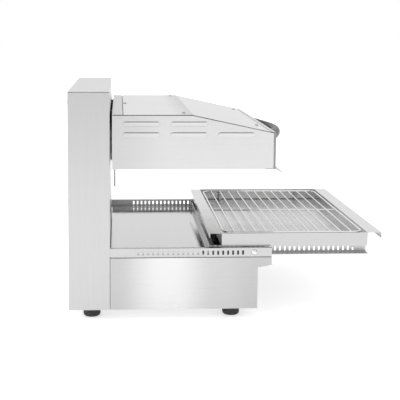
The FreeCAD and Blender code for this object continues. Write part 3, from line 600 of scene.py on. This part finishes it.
def grown(host, treeName, finish, **inputs):
    # runs a tree on the host and keeps the result as its plain mesh
    tree = repeats[treeName]
    sockets = {item.name.replace(" ", ""): item.identifier for item in tree.interface.items_tree
               if item.in_out == "INPUT"}
    growth = host.modifiers.new("growth", "NODES")
    growth.node_group = tree
    growth[sockets["Finish"]] = finishes[finish]
    for label, value in inputs.items():
        growth[sockets[label]] = value
    return shadeSmooth(bakeModifiers(host), 40)


def rowsOf(name, shape, finish, start, step, across, rowStep=(0, 0, 0), rows=1, turn=(0, 0, 0)):
    host = newObject(name, bpy.data.meshes.new(name))
    return grown(host, "rows", finish, Piece=shape, Start=start, Step=step, Across=across, RowStep=rowStep,
                 Rows=rows, Turn=turn)


def studsAt(name, shape, finish, places):
    mesh = bpy.data.meshes.new(name)
    mesh.from_pydata([place for place, facing in places], [], [])
    aims = mesh.attributes.new("facing", "FLOAT_VECTOR", "POINT")
    aims.data.foreach_set("vector", [value for place, facing in places for value in facing])
    return grown(newObject(name, mesh), "studs", finish, Stud=shape)


# drawn back a little, so that the joints between panels show as lines
joint = {"capLip": 0.0055, "lipDepth": 0.004, "sheet": 0.0012, "near": 0.0006, "inside": 0.001,
         "coverFront": 0.0012, "coverRear": 0.0006, "baseTop": 0.0012}


def loweredTop(spot, low, high):
    if spot.z > high.z - 1e-5:
        spot.z -= joint["baseTop"]


def drawnCap(spot, low, high):
    # the lip moves in, with its top edge under the cap plate
    middle = (low + high) / 2
    inside = all(min(spot[k] - low[k], high[k] - spot[k]) > joint["inside"] for k in (0, 1))
    underPlate = abs(spot.z - high.z + (high.z - low.z) / 7) < joint["near"] and inside
    if spot.z < high.z - joint["lipDepth"] or underPlate:
        for k in (0, 1):
            spot[k] -= math.copysign(joint["capLip"], spot[k] - middle[k])


def drawnCover(spot, low, high):
    if spot.x < low.x + joint["sheet"]:
        spot.x += joint["coverRear"]
    elif spot.x > high.x - joint["sheet"]:
        spot.x -= joint["coverFront"]


# sheet-metal pieces: rolled edge, finish, and what is drawn back
sheetPieces = {
    "column_side_left": (0.0007, "columnSteel"),
    "column_side_right": (0.0007, "columnSteel"),
    "column_front": (0.0004, "columnSteel"),
    "back_panel": (0.0004, "frontSteel"),
    "base_pan": (0.0003, "frontSteel"),
    "control_panel": (0.0004, "frontSteel"),
    "deck": (0.0005, "mirrorDeck"),
    "gallery_left": (0.0004, "gallerySteel"),
    "gallery_right": (0.0004, "railSteel"),
    "hood_back": (0.0005, "hoodSteel"),
    "hood_fascia": (0.0005, "fasciaSteel"),
    "drip_lip": (0.00025, "lipSteel"),
    "reflector": (0.0004, "reflectorSteel"),
    "element_hangers": (0.0003, "elementSupport"),
    "rack_rail_left": (0.0004, "railSteel"),
    "rack_rail_right": (0.0004, "railSteel"),
    "rack_bars": (0.0004, "railSteel"),
    "drip_tray": (0.0004, "traySteel"),
    "lift_arms": (0.0005, "armSteel"),
    "switch_housing": (0.0006, "knobPlastic"),
    "switch_rocker": (0.0008, "rockerPlastic"),
    "terminal_block": (0.0006, "terminalCeramic"),
    "base_side_left": (0.0006, "baseSteel", loweredTop),
    "base_side_right": (0.0006, "baseSteel", loweredTop),
    "column_cap": (0.0006, "capSteel", drawnCap),
    "hood_cover": (0.0006, "coverSteel", drawnCover),
}
sheetNames = {"deck": "deckPlate", "reflector": "reflectorPan"}
for nodeName, (edge, finish, *reshape) in sheetPieces.items():
    packedPiece(sheetNames.get(nodeName, camelName(nodeName)), nodeName, finish, edge, *reshape)
print("sheets rolled:", len(sheetPieces))

# hood sides with pressed louvres
hoodSide = {
    "joint": 0.0016, "edge": 0.0005, "notchDepth": 0.0236, "notchHeight": 0.0015, "frontGap": 0.005,
    "slit": 0.0009, "hidden": 0.0018, "flangeInset": 0.012, "flangeRear": 0.004, "flangeUp": 0.0025,
    "louvre": {"length": 0.084, "height": 0.0096, "bulge": 0.0044, "wall": 0.0008},
    "louvrePitch": 0.108, "firstLouvre": 0.066, "rows": ((0.1025, 2), (0.078, 3)),
}


def louvreShape(name, length, height, bulge, wall):
    # a half-dome over a slot, open along its top edge; -Y is outward
    bm = bmesh.new()
    r = height / 2
    straight = length / 2 - r
    ends = [r * math.sin(math.pi / 2 * k / 7) for k in range(8)]
    xs = [-straight - e for e in reversed(ends)] + [-straight / 3, straight / 3] + [straight + e for e in ends]
    depths = [0.0, 0.18, 0.4, 0.6, 0.78, 0.9, 0.97, 1.0]
    columns = []
    for x in xs:
        past = min(1.0, max(0.0, abs(x) - straight) / r)
        k = math.sqrt(max(0.0, 1 - past * past))
        column = []
        for t in depths:
            z = r * k * (1 - 2 * t)
            y = -bulge * k ** 0.8 * (1 - t) ** 0.85
            column.append(bm.verts.new((x, y, z)))
        columns.append(column)
    for a, b in zip(columns, columns[1:]):
        for k in range(len(depths) - 1):
            bm.faces.new((a[k], a[k + 1], b[k + 1], b[k]))
    bmesh.ops.remove_doubles(bm, verts=bm.verts, dist=1e-6)
    bmesh.ops.dissolve_degenerate(bm, edges=bm.edges, dist=1e-7)
    piece = meshObject(name, bm, "hoodSteel")
    addModifier(piece, "SOLIDIFY", thickness=wall, offset=-1.0)
    return bakeModifiers(piece)


def hoodSidePanel(name, nodeName, side):
    s = hoodSide
    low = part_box(nodeName)[0].z
    fore = hood["front"] - s["frontGap"]
    notch = hood["front"] - s["notchDepth"]

    def topAt(x):
        return hood["top"] - hood["sheet"] - s["joint"] - max(0.0, x - hood["bend"]) * hood["slope"]

    r = s["louvre"]["height"] / 2
    reach = s["louvre"]["length"] / 2 - r
    firstLouvre = hood["rear"] + s["firstLouvre"]
    middles = [(firstLouvre + k * s["louvrePitch"], low + height)
               for height, count in s["rows"] for k in range(count)]
    holes = [(x - reach, x + reach, z - r + s["hidden"], z + r + s["slit"]) for x, z in middles]
    holes.append((notch, fore, low, low + s["notchHeight"]))
    lines = [x for h in holes for x in h[:2]] + [hood["rear"], hood["bend"], notch, fore]
    xs = sorted({round(x, 6) for x in lines})
    zs = sorted({round(z, 6) for h in holes for z in h[2:]} | {round(low, 6)}) + [hood["top"]]
    bm = bmesh.new()
    grid = [[bm.verts.new((x, hood["face"], min(z, topAt(x)))) for z in zs] for x in xs]
    for i in range(len(xs) - 1):
        for k in range(len(zs) - 1):
            x, z = (xs[i] + xs[i + 1]) / 2, (zs[k] + zs[k + 1]) / 2
            if not any(h[0] < x < h[1] and h[2] < z < h[3] for h in holes):
                bm.faces.new((grid[i][k], grid[i + 1][k], grid[i + 1][k + 1], grid[i][k + 1]))
    bmesh.ops.delete(bm, geom=[v for v in bm.verts if not v.link_faces], context="VERTS")
    bmesh.ops.remove_doubles(bm, verts=bm.verts, dist=1e-6)
    bmesh.ops.dissolve_degenerate(bm, edges=bm.edges, dist=1e-6)
    panel = soften(meshObject(name + "Panel", bm, "hoodSteel"), s["edge"], thickness=hood["sheet"])
    flangeBody = bmesh.new()
    shelf = low + s["flangeUp"]
    brick(flangeBody, (hood["rear"] + s["flangeRear"], hood["face"] + hood["sheet"], shelf),
          (notch, hood["face"] + s["flangeInset"], shelf + hood["sheet"]))
    flange = soften(meshObject(name + "Flange", flangeBody, "hoodSteel"), 0.0003)
    piece = joined(name, [panel, flange])
    if side > 0:
        piece.data.transform(Matrix.Scale(-1, 4, (0, 1, 0)))
        piece.data.flip_normals()
    settle(piece, "hood", slotOf[nodeName], nodeName)


def hoodLouvres(name, shape, side):
    s = hoodSide
    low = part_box("hood_side_left")[0].z
    rows = [rowsOf(name + "Row" + str(k), shape, "hoodSteel",
                   (hood["rear"] + s["firstLouvre"], -side * hood["face"], low + height),
                   (s["louvrePitch"], 0, 0), count, turn=(0, 0, 0 if side < 0 else math.pi))
            for k, (height, count) in enumerate(s["rows"])]
    settle(joined(name, rows), "hood", "stainless")


louvre = louvreShape("louvre", **hoodSide["louvre"])
hoodSidePanel("hoodSideLeft", "hood_side_left", -1)
hoodSidePanel("hoodSideRight", "hood_side_right", 1)
hoodLouvres("hoodLouvresLeft", louvre, -1)
hoodLouvres("hoodLouvresRight", louvre, 1)
bpy.data.objects.remove(louvre)
print("hood sides pressed")

# rear vents: pressed hoods over the openings of the back panel
rearVent = {"shape": {"length": 0.050, "height": 0.011, "bulge": 0.0042, "wall": 0.0008}, "across": 8, "pitch": 0.060,
            "first": -0.210, "lowRow": 0.080, "highRow": 0.420, "rowPitch": 0.018, "rows": 3}


def rearVents():
    s = rearVent
    shape = louvreShape("ventHood", **s["shape"])
    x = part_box("back_panel")[0].x
    parts = [rowsOf("ventRows" + str(k), shape, "frontSteel", (x, s["first"], height), (0, s["pitch"], 0),
                    s["across"], (0, 0, s["rowPitch"]), s["rows"], (0, 0, -math.pi / 2))
             for k, height in enumerate((s["lowRow"], s["highRow"]))]
    settle(joined("rearVentHoods", parts), "housing", "stainless")
    bpy.data.objects.remove(shape)


rearVents()

# screws
screwSizes = {
    "casing": {"radius": 0.0042, "height": 0.0026}, "cover": {"radius": 0.0046, "height": 0.0026},
    "stop": {"radius": 0.0068, "height": 0.0040, "recess": False}, "foot": {"radius": 0.0065, "height": 0.0040},
    "spokes": 24, "recessDepth": 0.45, "recessWidth": 0.16, "recessReach": 0.55, "sunk": 0.0004,
}
# insets from the edges of what they hold
screwPlaces = {
    "casingSide": 0.009, "casingLow": 0.022, "casingMiddle": 0.53, "casingTop": 0.025,
    "coverRear": 0.031, "coverBend": 0.018, "coverSide": 0.032, "slopeFront": 0.032, "slopeSide": 0.088,
    "footWell": 0.008, "shank": 0.003, "shankLength": 0.017,
}


def screwShape(name, radius, height, recess=True):
    # domed head, with a cross recess if wanted; +Z is outward
    s = screwSizes
    bm = bmesh.new()
    shares = [0.0, 0.10, 0.2, 0.32, 0.45, 0.55, 0.66, 0.8, 0.92, 1.0]
    rings = []
    for share in shares:
        ring = []
        for k in range(s["spokes"] if share else 1):
            angle = 2 * math.pi * k / s["spokes"]
            x, y = share * math.cos(angle), share * math.sin(angle)
            z = height * math.sqrt(max(0.0, 1 - share ** 2.6))
            inner, outer = sorted((abs(x), abs(y)))
            if recess and inner < s["recessWidth"] and outer < s["recessReach"]:
                z -= height * s["recessDepth"] * (1 - outer / s["recessReach"] * 0.4)
            ring.append(bm.verts.new((x * radius, y * radius, z)))
        rings.append(ring)
    rings.append([bm.verts.new((v.co.x, v.co.y, -s["sunk"])) for v in rings[-1]])
    for low, high in zip(rings, rings[1:]):
        for k in range(s["spokes"]):
            j = (k + 1) % s["spokes"]
            if len(low) == 1:
                bm.faces.new((low[0], high[k], high[j]))
            else:
                bm.faces.new((low[k], high[k], high[j], low[j]))
    bm.faces.new(list(reversed(rings[-1])))
    return meshObject(name, outward(bm), "brightScrew")


def heads(name, kind, finish, places):
    shape = screwShape(kind + "Screw", **screwSizes[kind])
    piece = studsAt(name, shape, finish, places)
    bpy.data.objects.remove(shape)
    return piece


def screwSets():
    s = screwPlaces
    back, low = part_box("back_panel")[0].x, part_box("base_pan")[0].z
    half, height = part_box("column_cap")[1].y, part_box("column_cap")[1].z
    casing = [((back, y, z), (-1, 0, 0)) for y in (s["casingSide"] - half, half - s["casingSide"])
              for z in (low + s["casingLow"], height * s["casingMiddle"], height - s["casingTop"])]
    settle(heads("casingScrews", "casing", "brightScrew", casing), "housing", "bright_screw", "casing_screws")

    x = hood["front"] - s["slopeFront"]
    rise = math.atan(hood["slope"])
    level = [(hood["rear"] + s["coverRear"], 0.0)]
    level += [(hood["bend"] - s["coverBend"], side * (hood["half"] - s["coverSide"])) for side in (-1, 1)]
    cover = [((px, py, hood["top"]), (0, 0, 1)) for px, py in level]
    cover += [((x, side * (hood["half"] - s["slopeSide"]), hood["top"] - (x - hood["bend"]) * hood["slope"]),
               (math.sin(rise), 0, math.cos(rise))) for side in (-1, 1)]
    settle(heads("hoodScrews", "cover", "darkScrew", cover), "hood", "bright_screw", "hood_screws")

    stopLow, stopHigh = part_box("stop_screws")
    middle = (stopLow + stopHigh) / 2
    face = abs(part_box("gallery_left")[0].y)
    shanks = bmesh.new()
    for side in (-1, 1):   # each runs inward from its gallery's face
        tips = [(0.0, 0.0), (s["shank"], 0.0), (s["shank"], side * (s["shankLength"] - 0.001)),
                (0.0, side * s["shankLength"])]
        turned(shanks, tips, 16, (middle.x, side * face, middle.z), "-Y")
    rods = meshObject("stopShanks", outward(shanks), "brightScrew")
    stops = heads("stopHeads", "stop", "brightScrew",
                  [((middle.x, side * face, middle.z), (0, side, 0)) for side in (-1, 1)])
    settle(joined("stopScrews", [stops, rods]), "housing", "bright_screw", "stop_screws")

    footLow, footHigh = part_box("feet")
    r = feet["radius"]
    under = [((x, y, s["footWell"]), (0, 0, -1)) for x in (footLow.x + r, footHigh.x - r)
             for y in (footLow.y + r, footHigh.y - r)]
    settle(heads("footScrews", "foot", "darkScrew", under), "housing", "bright_screw")


# feet
feet = {"radius": 0.0205, "well": 0.0075, "wellDepth": 0.008}


def rubberFeet():
    s = feet
    low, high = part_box("feet")
    top = high.z
    r = s["radius"]
    bm = bmesh.new()
    side, groove = r - 0.0003, r - 0.0012
    profile = [(0.0, s["wellDepth"]), (s["well"], s["wellDepth"]), (s["well"], 0.001), (s["well"] + 0.001, 0.0),
               (r - 0.0065, 0.0), (r - 0.0035, 0.0008), (groove, 0.003), (side, 0.006), (side, 0.0085),
               (groove, 0.0092), (groove, 0.0105), (r, 0.0112), (r, top - 0.005), (groove, top - 0.0042),
               (groove, top - 0.0025), (r, top - 0.0018), (r, top - 0.0002), (0.004, top - 0.0002),
               (0.0, top - 0.0002)]
    turned(bm, profile, 40)
    shape = meshObject("foot", outward(bm), "rubberFoot")
    piece = rowsOf("rubberFeet", shape, "rubberFoot", (low.x + r, low.y + r, 0.0),
                   (high.x - low.x - 2 * r, 0, 0), 2, (0, high.y - low.y - 2 * r, 0), 2)
    bpy.data.objects.remove(shape)
    settle(piece, "housing", "rubber_foot", "feet")


rubberFeet()
screwSets()
print("screws and feet placed")

# handle: a round bar bent to a shallow arc, with a flared foot at each end
handle = {"radius": 0.012, "span": 0.344, "steps": 48, "around": 24, "flare": 0.008, "flareLength": 0.05}


def bowHandle():
    s = handle
    low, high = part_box("hood_handle")
    z = (low.z + high.z) / 2
    rise = high.x - low.x - s["radius"]
    arc = ((s["span"] / 2) ** 2 + rise ** 2) / (2 * rise)
    centre = low.x + rise - arc
    reach = math.acos((arc - rise) / (arc + s["radius"]))
    bm = bmesh.new()
    rings = []
    for k in range(s["steps"] + 1):
        angle = reach * (2 * k / s["steps"] - 1)
        ring = []
        for j in range(s["around"]):
            turn = 2 * math.pi * j / s["around"]
            r = arc + s["radius"] * math.cos(turn)
            x, y = centre + r * math.cos(angle), r * math.sin(angle)
            near = max(0.0, 1 - (x - low.x) / s["flareLength"])
            swell = 1 + s["flare"] / s["radius"] * near * near
            ring.append(bm.verts.new((max(low.x, x), y, z + s["radius"] * math.sin(turn) * swell)))
        rings.append(ring)
    for a, b in zip(rings, rings[1:]):
        for j in range(s["around"]):
            i = (j + 1) % s["around"]
            bm.faces.new((a[j], a[i], b[i], b[j]))
    bm.faces.new(rings[0])
    bm.faces.new(list(reversed(rings[-1])))
    bmesh.ops.remove_doubles(bm, verts=bm.verts, dist=1e-6)
    bmesh.ops.dissolve_degenerate(bm, edges=bm.edges, dist=1e-7)
    piece = meshObject("hoodHandle", outward(bm), "handleGrip")
    soften(piece, 0.0, smooth=50)
    settle(piece, "hood", slotOf["hood_handle"], "hood_handle")


bowHandle()

# wire grid
grid = {"frameRadius": 0.0024, "wireRadius": 0.0018, "corner": 0.022, "wires": 14, "spineDrop": 0.0015,
        "legInset": 2, "weldDrop": 0.0004}


def rodShape(name, radius, length, sides, finish):
    bm = bmesh.new()
    turned(bm, [(0.0, 0.0), (radius, 0.0), (radius, length), (0.0, length)], sides, (0, length / 2, 0), "-Y")
    return meshObject(name, outward(bm), finish)


def wireGrid():
    s = grid
    low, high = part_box("wire_grid")
    f = s["frameRadius"]
    x0, x1, y1, z = low.x + f, high.x - f, high.y - f, high.z - f
    corners = [(x0, -y1, z), (x1, -y1, z), (x1, y1, z), (x0, y1, z)]
    rim = tubeObject("gridRim", [roundedPath(corners, s["corner"], 8, True)], f, "chromeWire", True, 4)
    pitch = (x1 - x0) / (s["wires"] - 1)
    rod = rodShape("gridRod", s["wireRadius"], 2 * y1, 10, "chromeWire")
    cross = rowsOf("gridWires", rod, "chromeWire", (x0 + pitch, 0, z), (pitch, 0, 0), s["wires"] - 2)
    bpy.data.objects.remove(rod)
    ends = [Vector((x, 0, z - s["spineDrop"])) for x in (x0, x1)]
    spine = tubeObject("gridSpine", [ends], s["wireRadius"], "chromeWire", sides=3)
    legs = [[Vector((x, y, low.z)), Vector((x, y, z))]
            for x in (x0 + s["legInset"] * pitch, x1 - s["legInset"] * pitch) for y in (-y1, y1)]
    posts = tubeObject("gridLegs", legs, f, "chromeWire", sides=3)
    weldBody = bmesh.new()
    turned(weldBody, [(0.0, -0.0022), (0.0020, -0.0014), (0.0026, 0.0), (0.0020, 0.0014), (0.0, 0.0022)], 10)
    weld = meshObject("weld", outward(weldBody), "chromeWire")
    welds = rowsOf("gridWelds", weld, "chromeWire", (x0 + pitch, -y1, z - s["weldDrop"]), (pitch, 0, 0),
                   s["wires"] - 2, (0, y1, 0), 3)
    bpy.data.objects.remove(weld)
    piece = shadeSmooth(joined("wireGrid", [rim, cross, spine, posts, welds]), 50)
    settle(piece, "grid", "chrome_wire", "wire_grid")


wireGrid()

# knobs, lamps and gland
knob = {"flutes": 18, "flute": 0.045, "steps": 108, "skirt": 0.0062, "grip": 0.0150, "pointer": 0.0016}


def controlKnobs():
    s = knob
    for name, nodeName in (("leftKnob", "knob_a"), ("rightKnob", "knob_b")):
        low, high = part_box(nodeName)
        r = (high.y - low.y) / 2
        y, z = (low.y + high.y) / 2, (low.z + high.z) / 2
        depth = high.x - low.x
        edge = s["grip"] - 0.0028
        bm = bmesh.new()
        skirt = [(0.004, 0.0), (r, 0.0), (r, s["skirt"] * 0.6), (r - 0.0015, s["skirt"]),
                 (s["grip"] * 0.97, s["skirt"] + 0.0004)]
        grip = [(s["grip"], s["skirt"] - 0.0004), (s["grip"], s["skirt"] + 0.001),
                (s["grip"] - 0.0012, depth - 0.0025), (edge, depth - 0.0006)]
        crown = [(edge, depth - 0.0006), (s["grip"] - 0.005, depth), (0.0, depth)]
        for profile, flute in ((skirt, 0.0), (grip, s["flute"]), (crown, 0.0)):
            turned(bm, profile, s["steps"], (low.x, y, z), "X", flute, s["flutes"])
        body = soften(meshObject(nodeName + "Body", outward(bm), "knobPlastic"), 0.0)
        mark = bmesh.new()
        w = s["pointer"] / 2
        brick(mark, (high.x - 0.0004, y - w, z + 0.003), (high.x + 0.0003, y + w, z + s["grip"] - 0.005))
        brick(mark, (low.x + s["skirt"] - 0.0003, y - w, z + s["grip"]),
              (low.x + s["skirt"] + 0.0003, y + w, z + r - 0.0018))
        line = soften(meshObject(nodeName + "Mark", mark, "pointerWhite"), 0.0001)
        settle(joined(name, [body, line]), nodeName, slotOf[nodeName], nodeName)


lamp = {"bezel": 0.0070, "lens": 0.0056, "bezelDepth": 0.0016, "tail": 0.020}


def controlLamps():
    s = lamp
    low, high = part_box("lamps")
    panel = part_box("control_panel")[1].x
    z = (low.z + high.z) / 2
    b, r, deep = s["bezel"], s["lens"], s["bezelDepth"]
    ring = [(0.0, -s["tail"]), (0.005, -s["tail"]), (0.005, 0.0), (b, 0.0), (b, 0.0010), (b - 0.0006, deep),
            (r, deep), (r, 0.0004), (0.0, 0.0004)]
    dome = [(0.0, 0.0006), (r - 0.0002, 0.0006)]
    dome += [((r - 0.0002) * math.cos(a), deep + (high.x - panel - deep) * math.sin(a))
             for a in [math.pi / 2 * k / 8 for k in range(8)]]
    dome += [(0.0, high.x - panel)]
    lensBody, bezelBody = bmesh.new(), bmesh.new()
    for y in (low.y + b, high.y - b):
        turned(bezelBody, ring, 36, (panel, y, z), "X")
        turned(lensBody, dome, 36, (panel, y, z), "X")
    lens = meshObject("lampLens", outward(lensBody), "lampLens")
    bezel = meshObject("lampBezel", outward(bezelBody), "brightScrew")
    piece = soften(joined("controlLamps", [bezel, lens]), 0.0, smooth=30)
    settle(piece, "housing", slotOf["lamps"], "lamps")


gland = {"nut": 0.0125, "nutDepth": 0.005, "cap": 0.0108, "mouth": 0.0046, "ribs": 12, "behind": 0.006}


def supplyGland():
    s = gland
    low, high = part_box("cable_gland")
    y, z = (low.y + high.y) / 2, (low.z + high.z) / 2
    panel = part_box("back_panel")[0].x
    reach = panel - low.x
    bm = bmesh.new()
    nut, cap, mouth, deep = s["nut"], s["cap"], s["mouth"], s["nutDepth"]
    hexagon = [(mouth, -s["behind"]), (nut, -s["behind"]), (nut, 0.0), (nut, deep - 0.0006), (nut - 0.0008, deep),
               (cap - 0.001, deep)]
    turned(bm, hexagon, 6, (panel, y, z), "-X")
    dome = [(cap - 0.0004, deep - 0.001), (cap, deep + 0.0005), (cap - 0.0012, reach - 0.003),
            (cap - 0.0032, reach - 0.0004), (mouth + 0.001, reach), (mouth, reach - 0.001), (mouth, 0.0)]
    turned(bm, dome, 72, (panel, y, z), "-X", 0.05, s["ribs"])
    piece = soften(meshObject("supplyGland", outward(bm), "knobPlastic"), 0.0, smooth=35)
    settle(piece, "housing", slotOf["cable_gland"], "cable_gland")


controlKnobs()
controlLamps()
supplyGland()
print("controls made")

# heating elements: hairpins seen from under the hood
element = {"radius": 0.0040, "bend": 0.014, "inner": 0.024, "gap": 0.020, "aSide": 3, "outer": 0.058}


def heatingElements():
    s = element
    low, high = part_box("heating_elements")
    wide = (hood["half"] - s["outer"] - s["inner"] + s["gap"]) / s["aSide"] - s["gap"]
    x0, x1 = low.x + s["radius"], high.x - s["radius"]
    z = low.z + s["radius"]
    paths = []
    for side in (-1, 1):
        for k in range(s["aSide"]):
            near = side * (s["inner"] + k * (wide + s["gap"]))
            far = near + side * wide
            points = [(x0, near, high.z), (x0, near, z), (x1, near, z), (x1, far, z), (x0, far, z), (x0, far, high.z)]
            paths.append(roundedPath(points, s["bend"], 10))
    piece = shadeSmooth(tubeObject("heatingElements", paths, s["radius"], "elementTube", sides=4), 50)
    settle(piece, "hood", slotOf["heating_elements"], "heating_elements")


heatingElements()

# round parts inside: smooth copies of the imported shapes
smoothPieces = ("probe_sleeve", "element_terminals", "guide_rods", "carriage_bushes", "pulleys", "pulley_shaft",
                "shaft_bushes", "spindle_a", "spindle_b", "handle_bolts")
for nodeName in smoothPieces:
    finish = "chromeWire" if nodeName == "probe_sleeve" else finishOf(nodeName)
    packedPiece(camelName(nodeName), nodeName, finish, 0.0, smooth=32)
print("inner parts smoothed")

# floor, light and camera
studio = {"floorTone": 0.85, "floorGlow": 0.51, "floorReach": 30.0, "sky": 1.0, "zenith": 0.12, "room": 0.22,
          "window": 0.8, "shade": 0.4, "keyPower": 6.0, "keySize": 4.0, "keyPlace": (0.8, -1.8, 4.0),
          "keyTarget": (0.0, 0.0, 0.2)}
shot = {"place": (-0.2398, -2.2602, 0.6648), "yaw": 3.215, "pitch": 6.816, "roll": 0.351, "lens": 78.99,
        "shift": (0.08, -0.16)}


def studioFloor():
    tree, shader = newFinish("floorPaint")
    plug(shader, {"Base Color": grey(studio["floorTone"]), "Roughness": 0.9, "Specular IOR Level": 0.1,
                  "Emission Color": grey(1.0), "Emission Strength": studio["floorGlow"]})
    bm = bmesh.new()
    r = studio["floorReach"]
    bm.faces.new([bm.verts.new((x, y, 0.0)) for x, y in ((-r, -r), (r, -r), (r, r), (-r, r))])
    meshObject("floor", bm, "floorPaint")


def studioLight():
    scene = bpy.context.scene
    world = bpy.data.worlds.new("softbox")
    scene.world = world
    world.use_nodes = True
    tree = world.node_tree
    x, y, z = (coordinate(tree, axis, "Generated") for axis in "XYZ")
    above = spread(tree, z, 0.0, 1.0, 0.0, studio["zenith"])
    # a darker room in front, and no bright or dark side behind the object
    dim = times(tree, times(tree, spread(tree, y, -0.2, -0.95), spread(tree, z, 0.6, 0.1)),
                spread(tree, x, 0.35, -0.15))
    sides = maths(tree, "SUBTRACT", spread(tree, x, -0.4, -0.8, 0.0, studio["window"]),
                  spread(tree, x, 0.5, 0.85, 0.0, studio["shade"]))
    bright = maths(tree, "SUBTRACT", maths(tree, "ADD", above, studio["sky"]), times(tree, dim, studio["room"]))
    bright = maths(tree, "ADD", bright, times(tree, sides, spread(tree, y, 0.5, 0.1)))
    plug(tree.nodes["Background"], {"Strength": bright, "Color": grey(1.0)})
    light = bpy.data.lights.new("keyLight", "AREA")
    light.energy, light.shape, light.size = studio["keyPower"], "SQUARE", studio["keySize"]
    holder = newObject("keyLight", light)
    holder.location = studio["keyPlace"]
    way = Vector(studio["keyTarget"]) - Vector(studio["keyPlace"])
    holder.rotation_euler = way.to_track_quat("-Z", "Y").to_euler()
    scene.view_settings.view_transform = "Standard"
    scene.view_settings.look = "None"


def studioCamera():
    lensData = bpy.data.cameras.new("camera")
    lensData.lens = shot["lens"]
    lensData.sensor_width = 36.0
    lensData.shift_x, lensData.shift_y = shot["shift"]
    lensData.clip_end = 100.0
    lensData.dof.use_dof = False
    camera = newObject("camera", lensData)
    camera.location = shot["place"]
    turns = ((-shot["yaw"], "Z"), (90 - shot["pitch"], "X"), (shot["roll"], "Z"))
    yaw, pitch, roll = (Matrix.Rotation(math.radians(angle), 4, axis) for angle, axis in turns)
    camera.rotation_euler = (yaw @ pitch @ roll).to_euler()
    bpy.context.scene.camera = camera


studioFloor()
studioLight()
studioCamera()

print("scene ready")
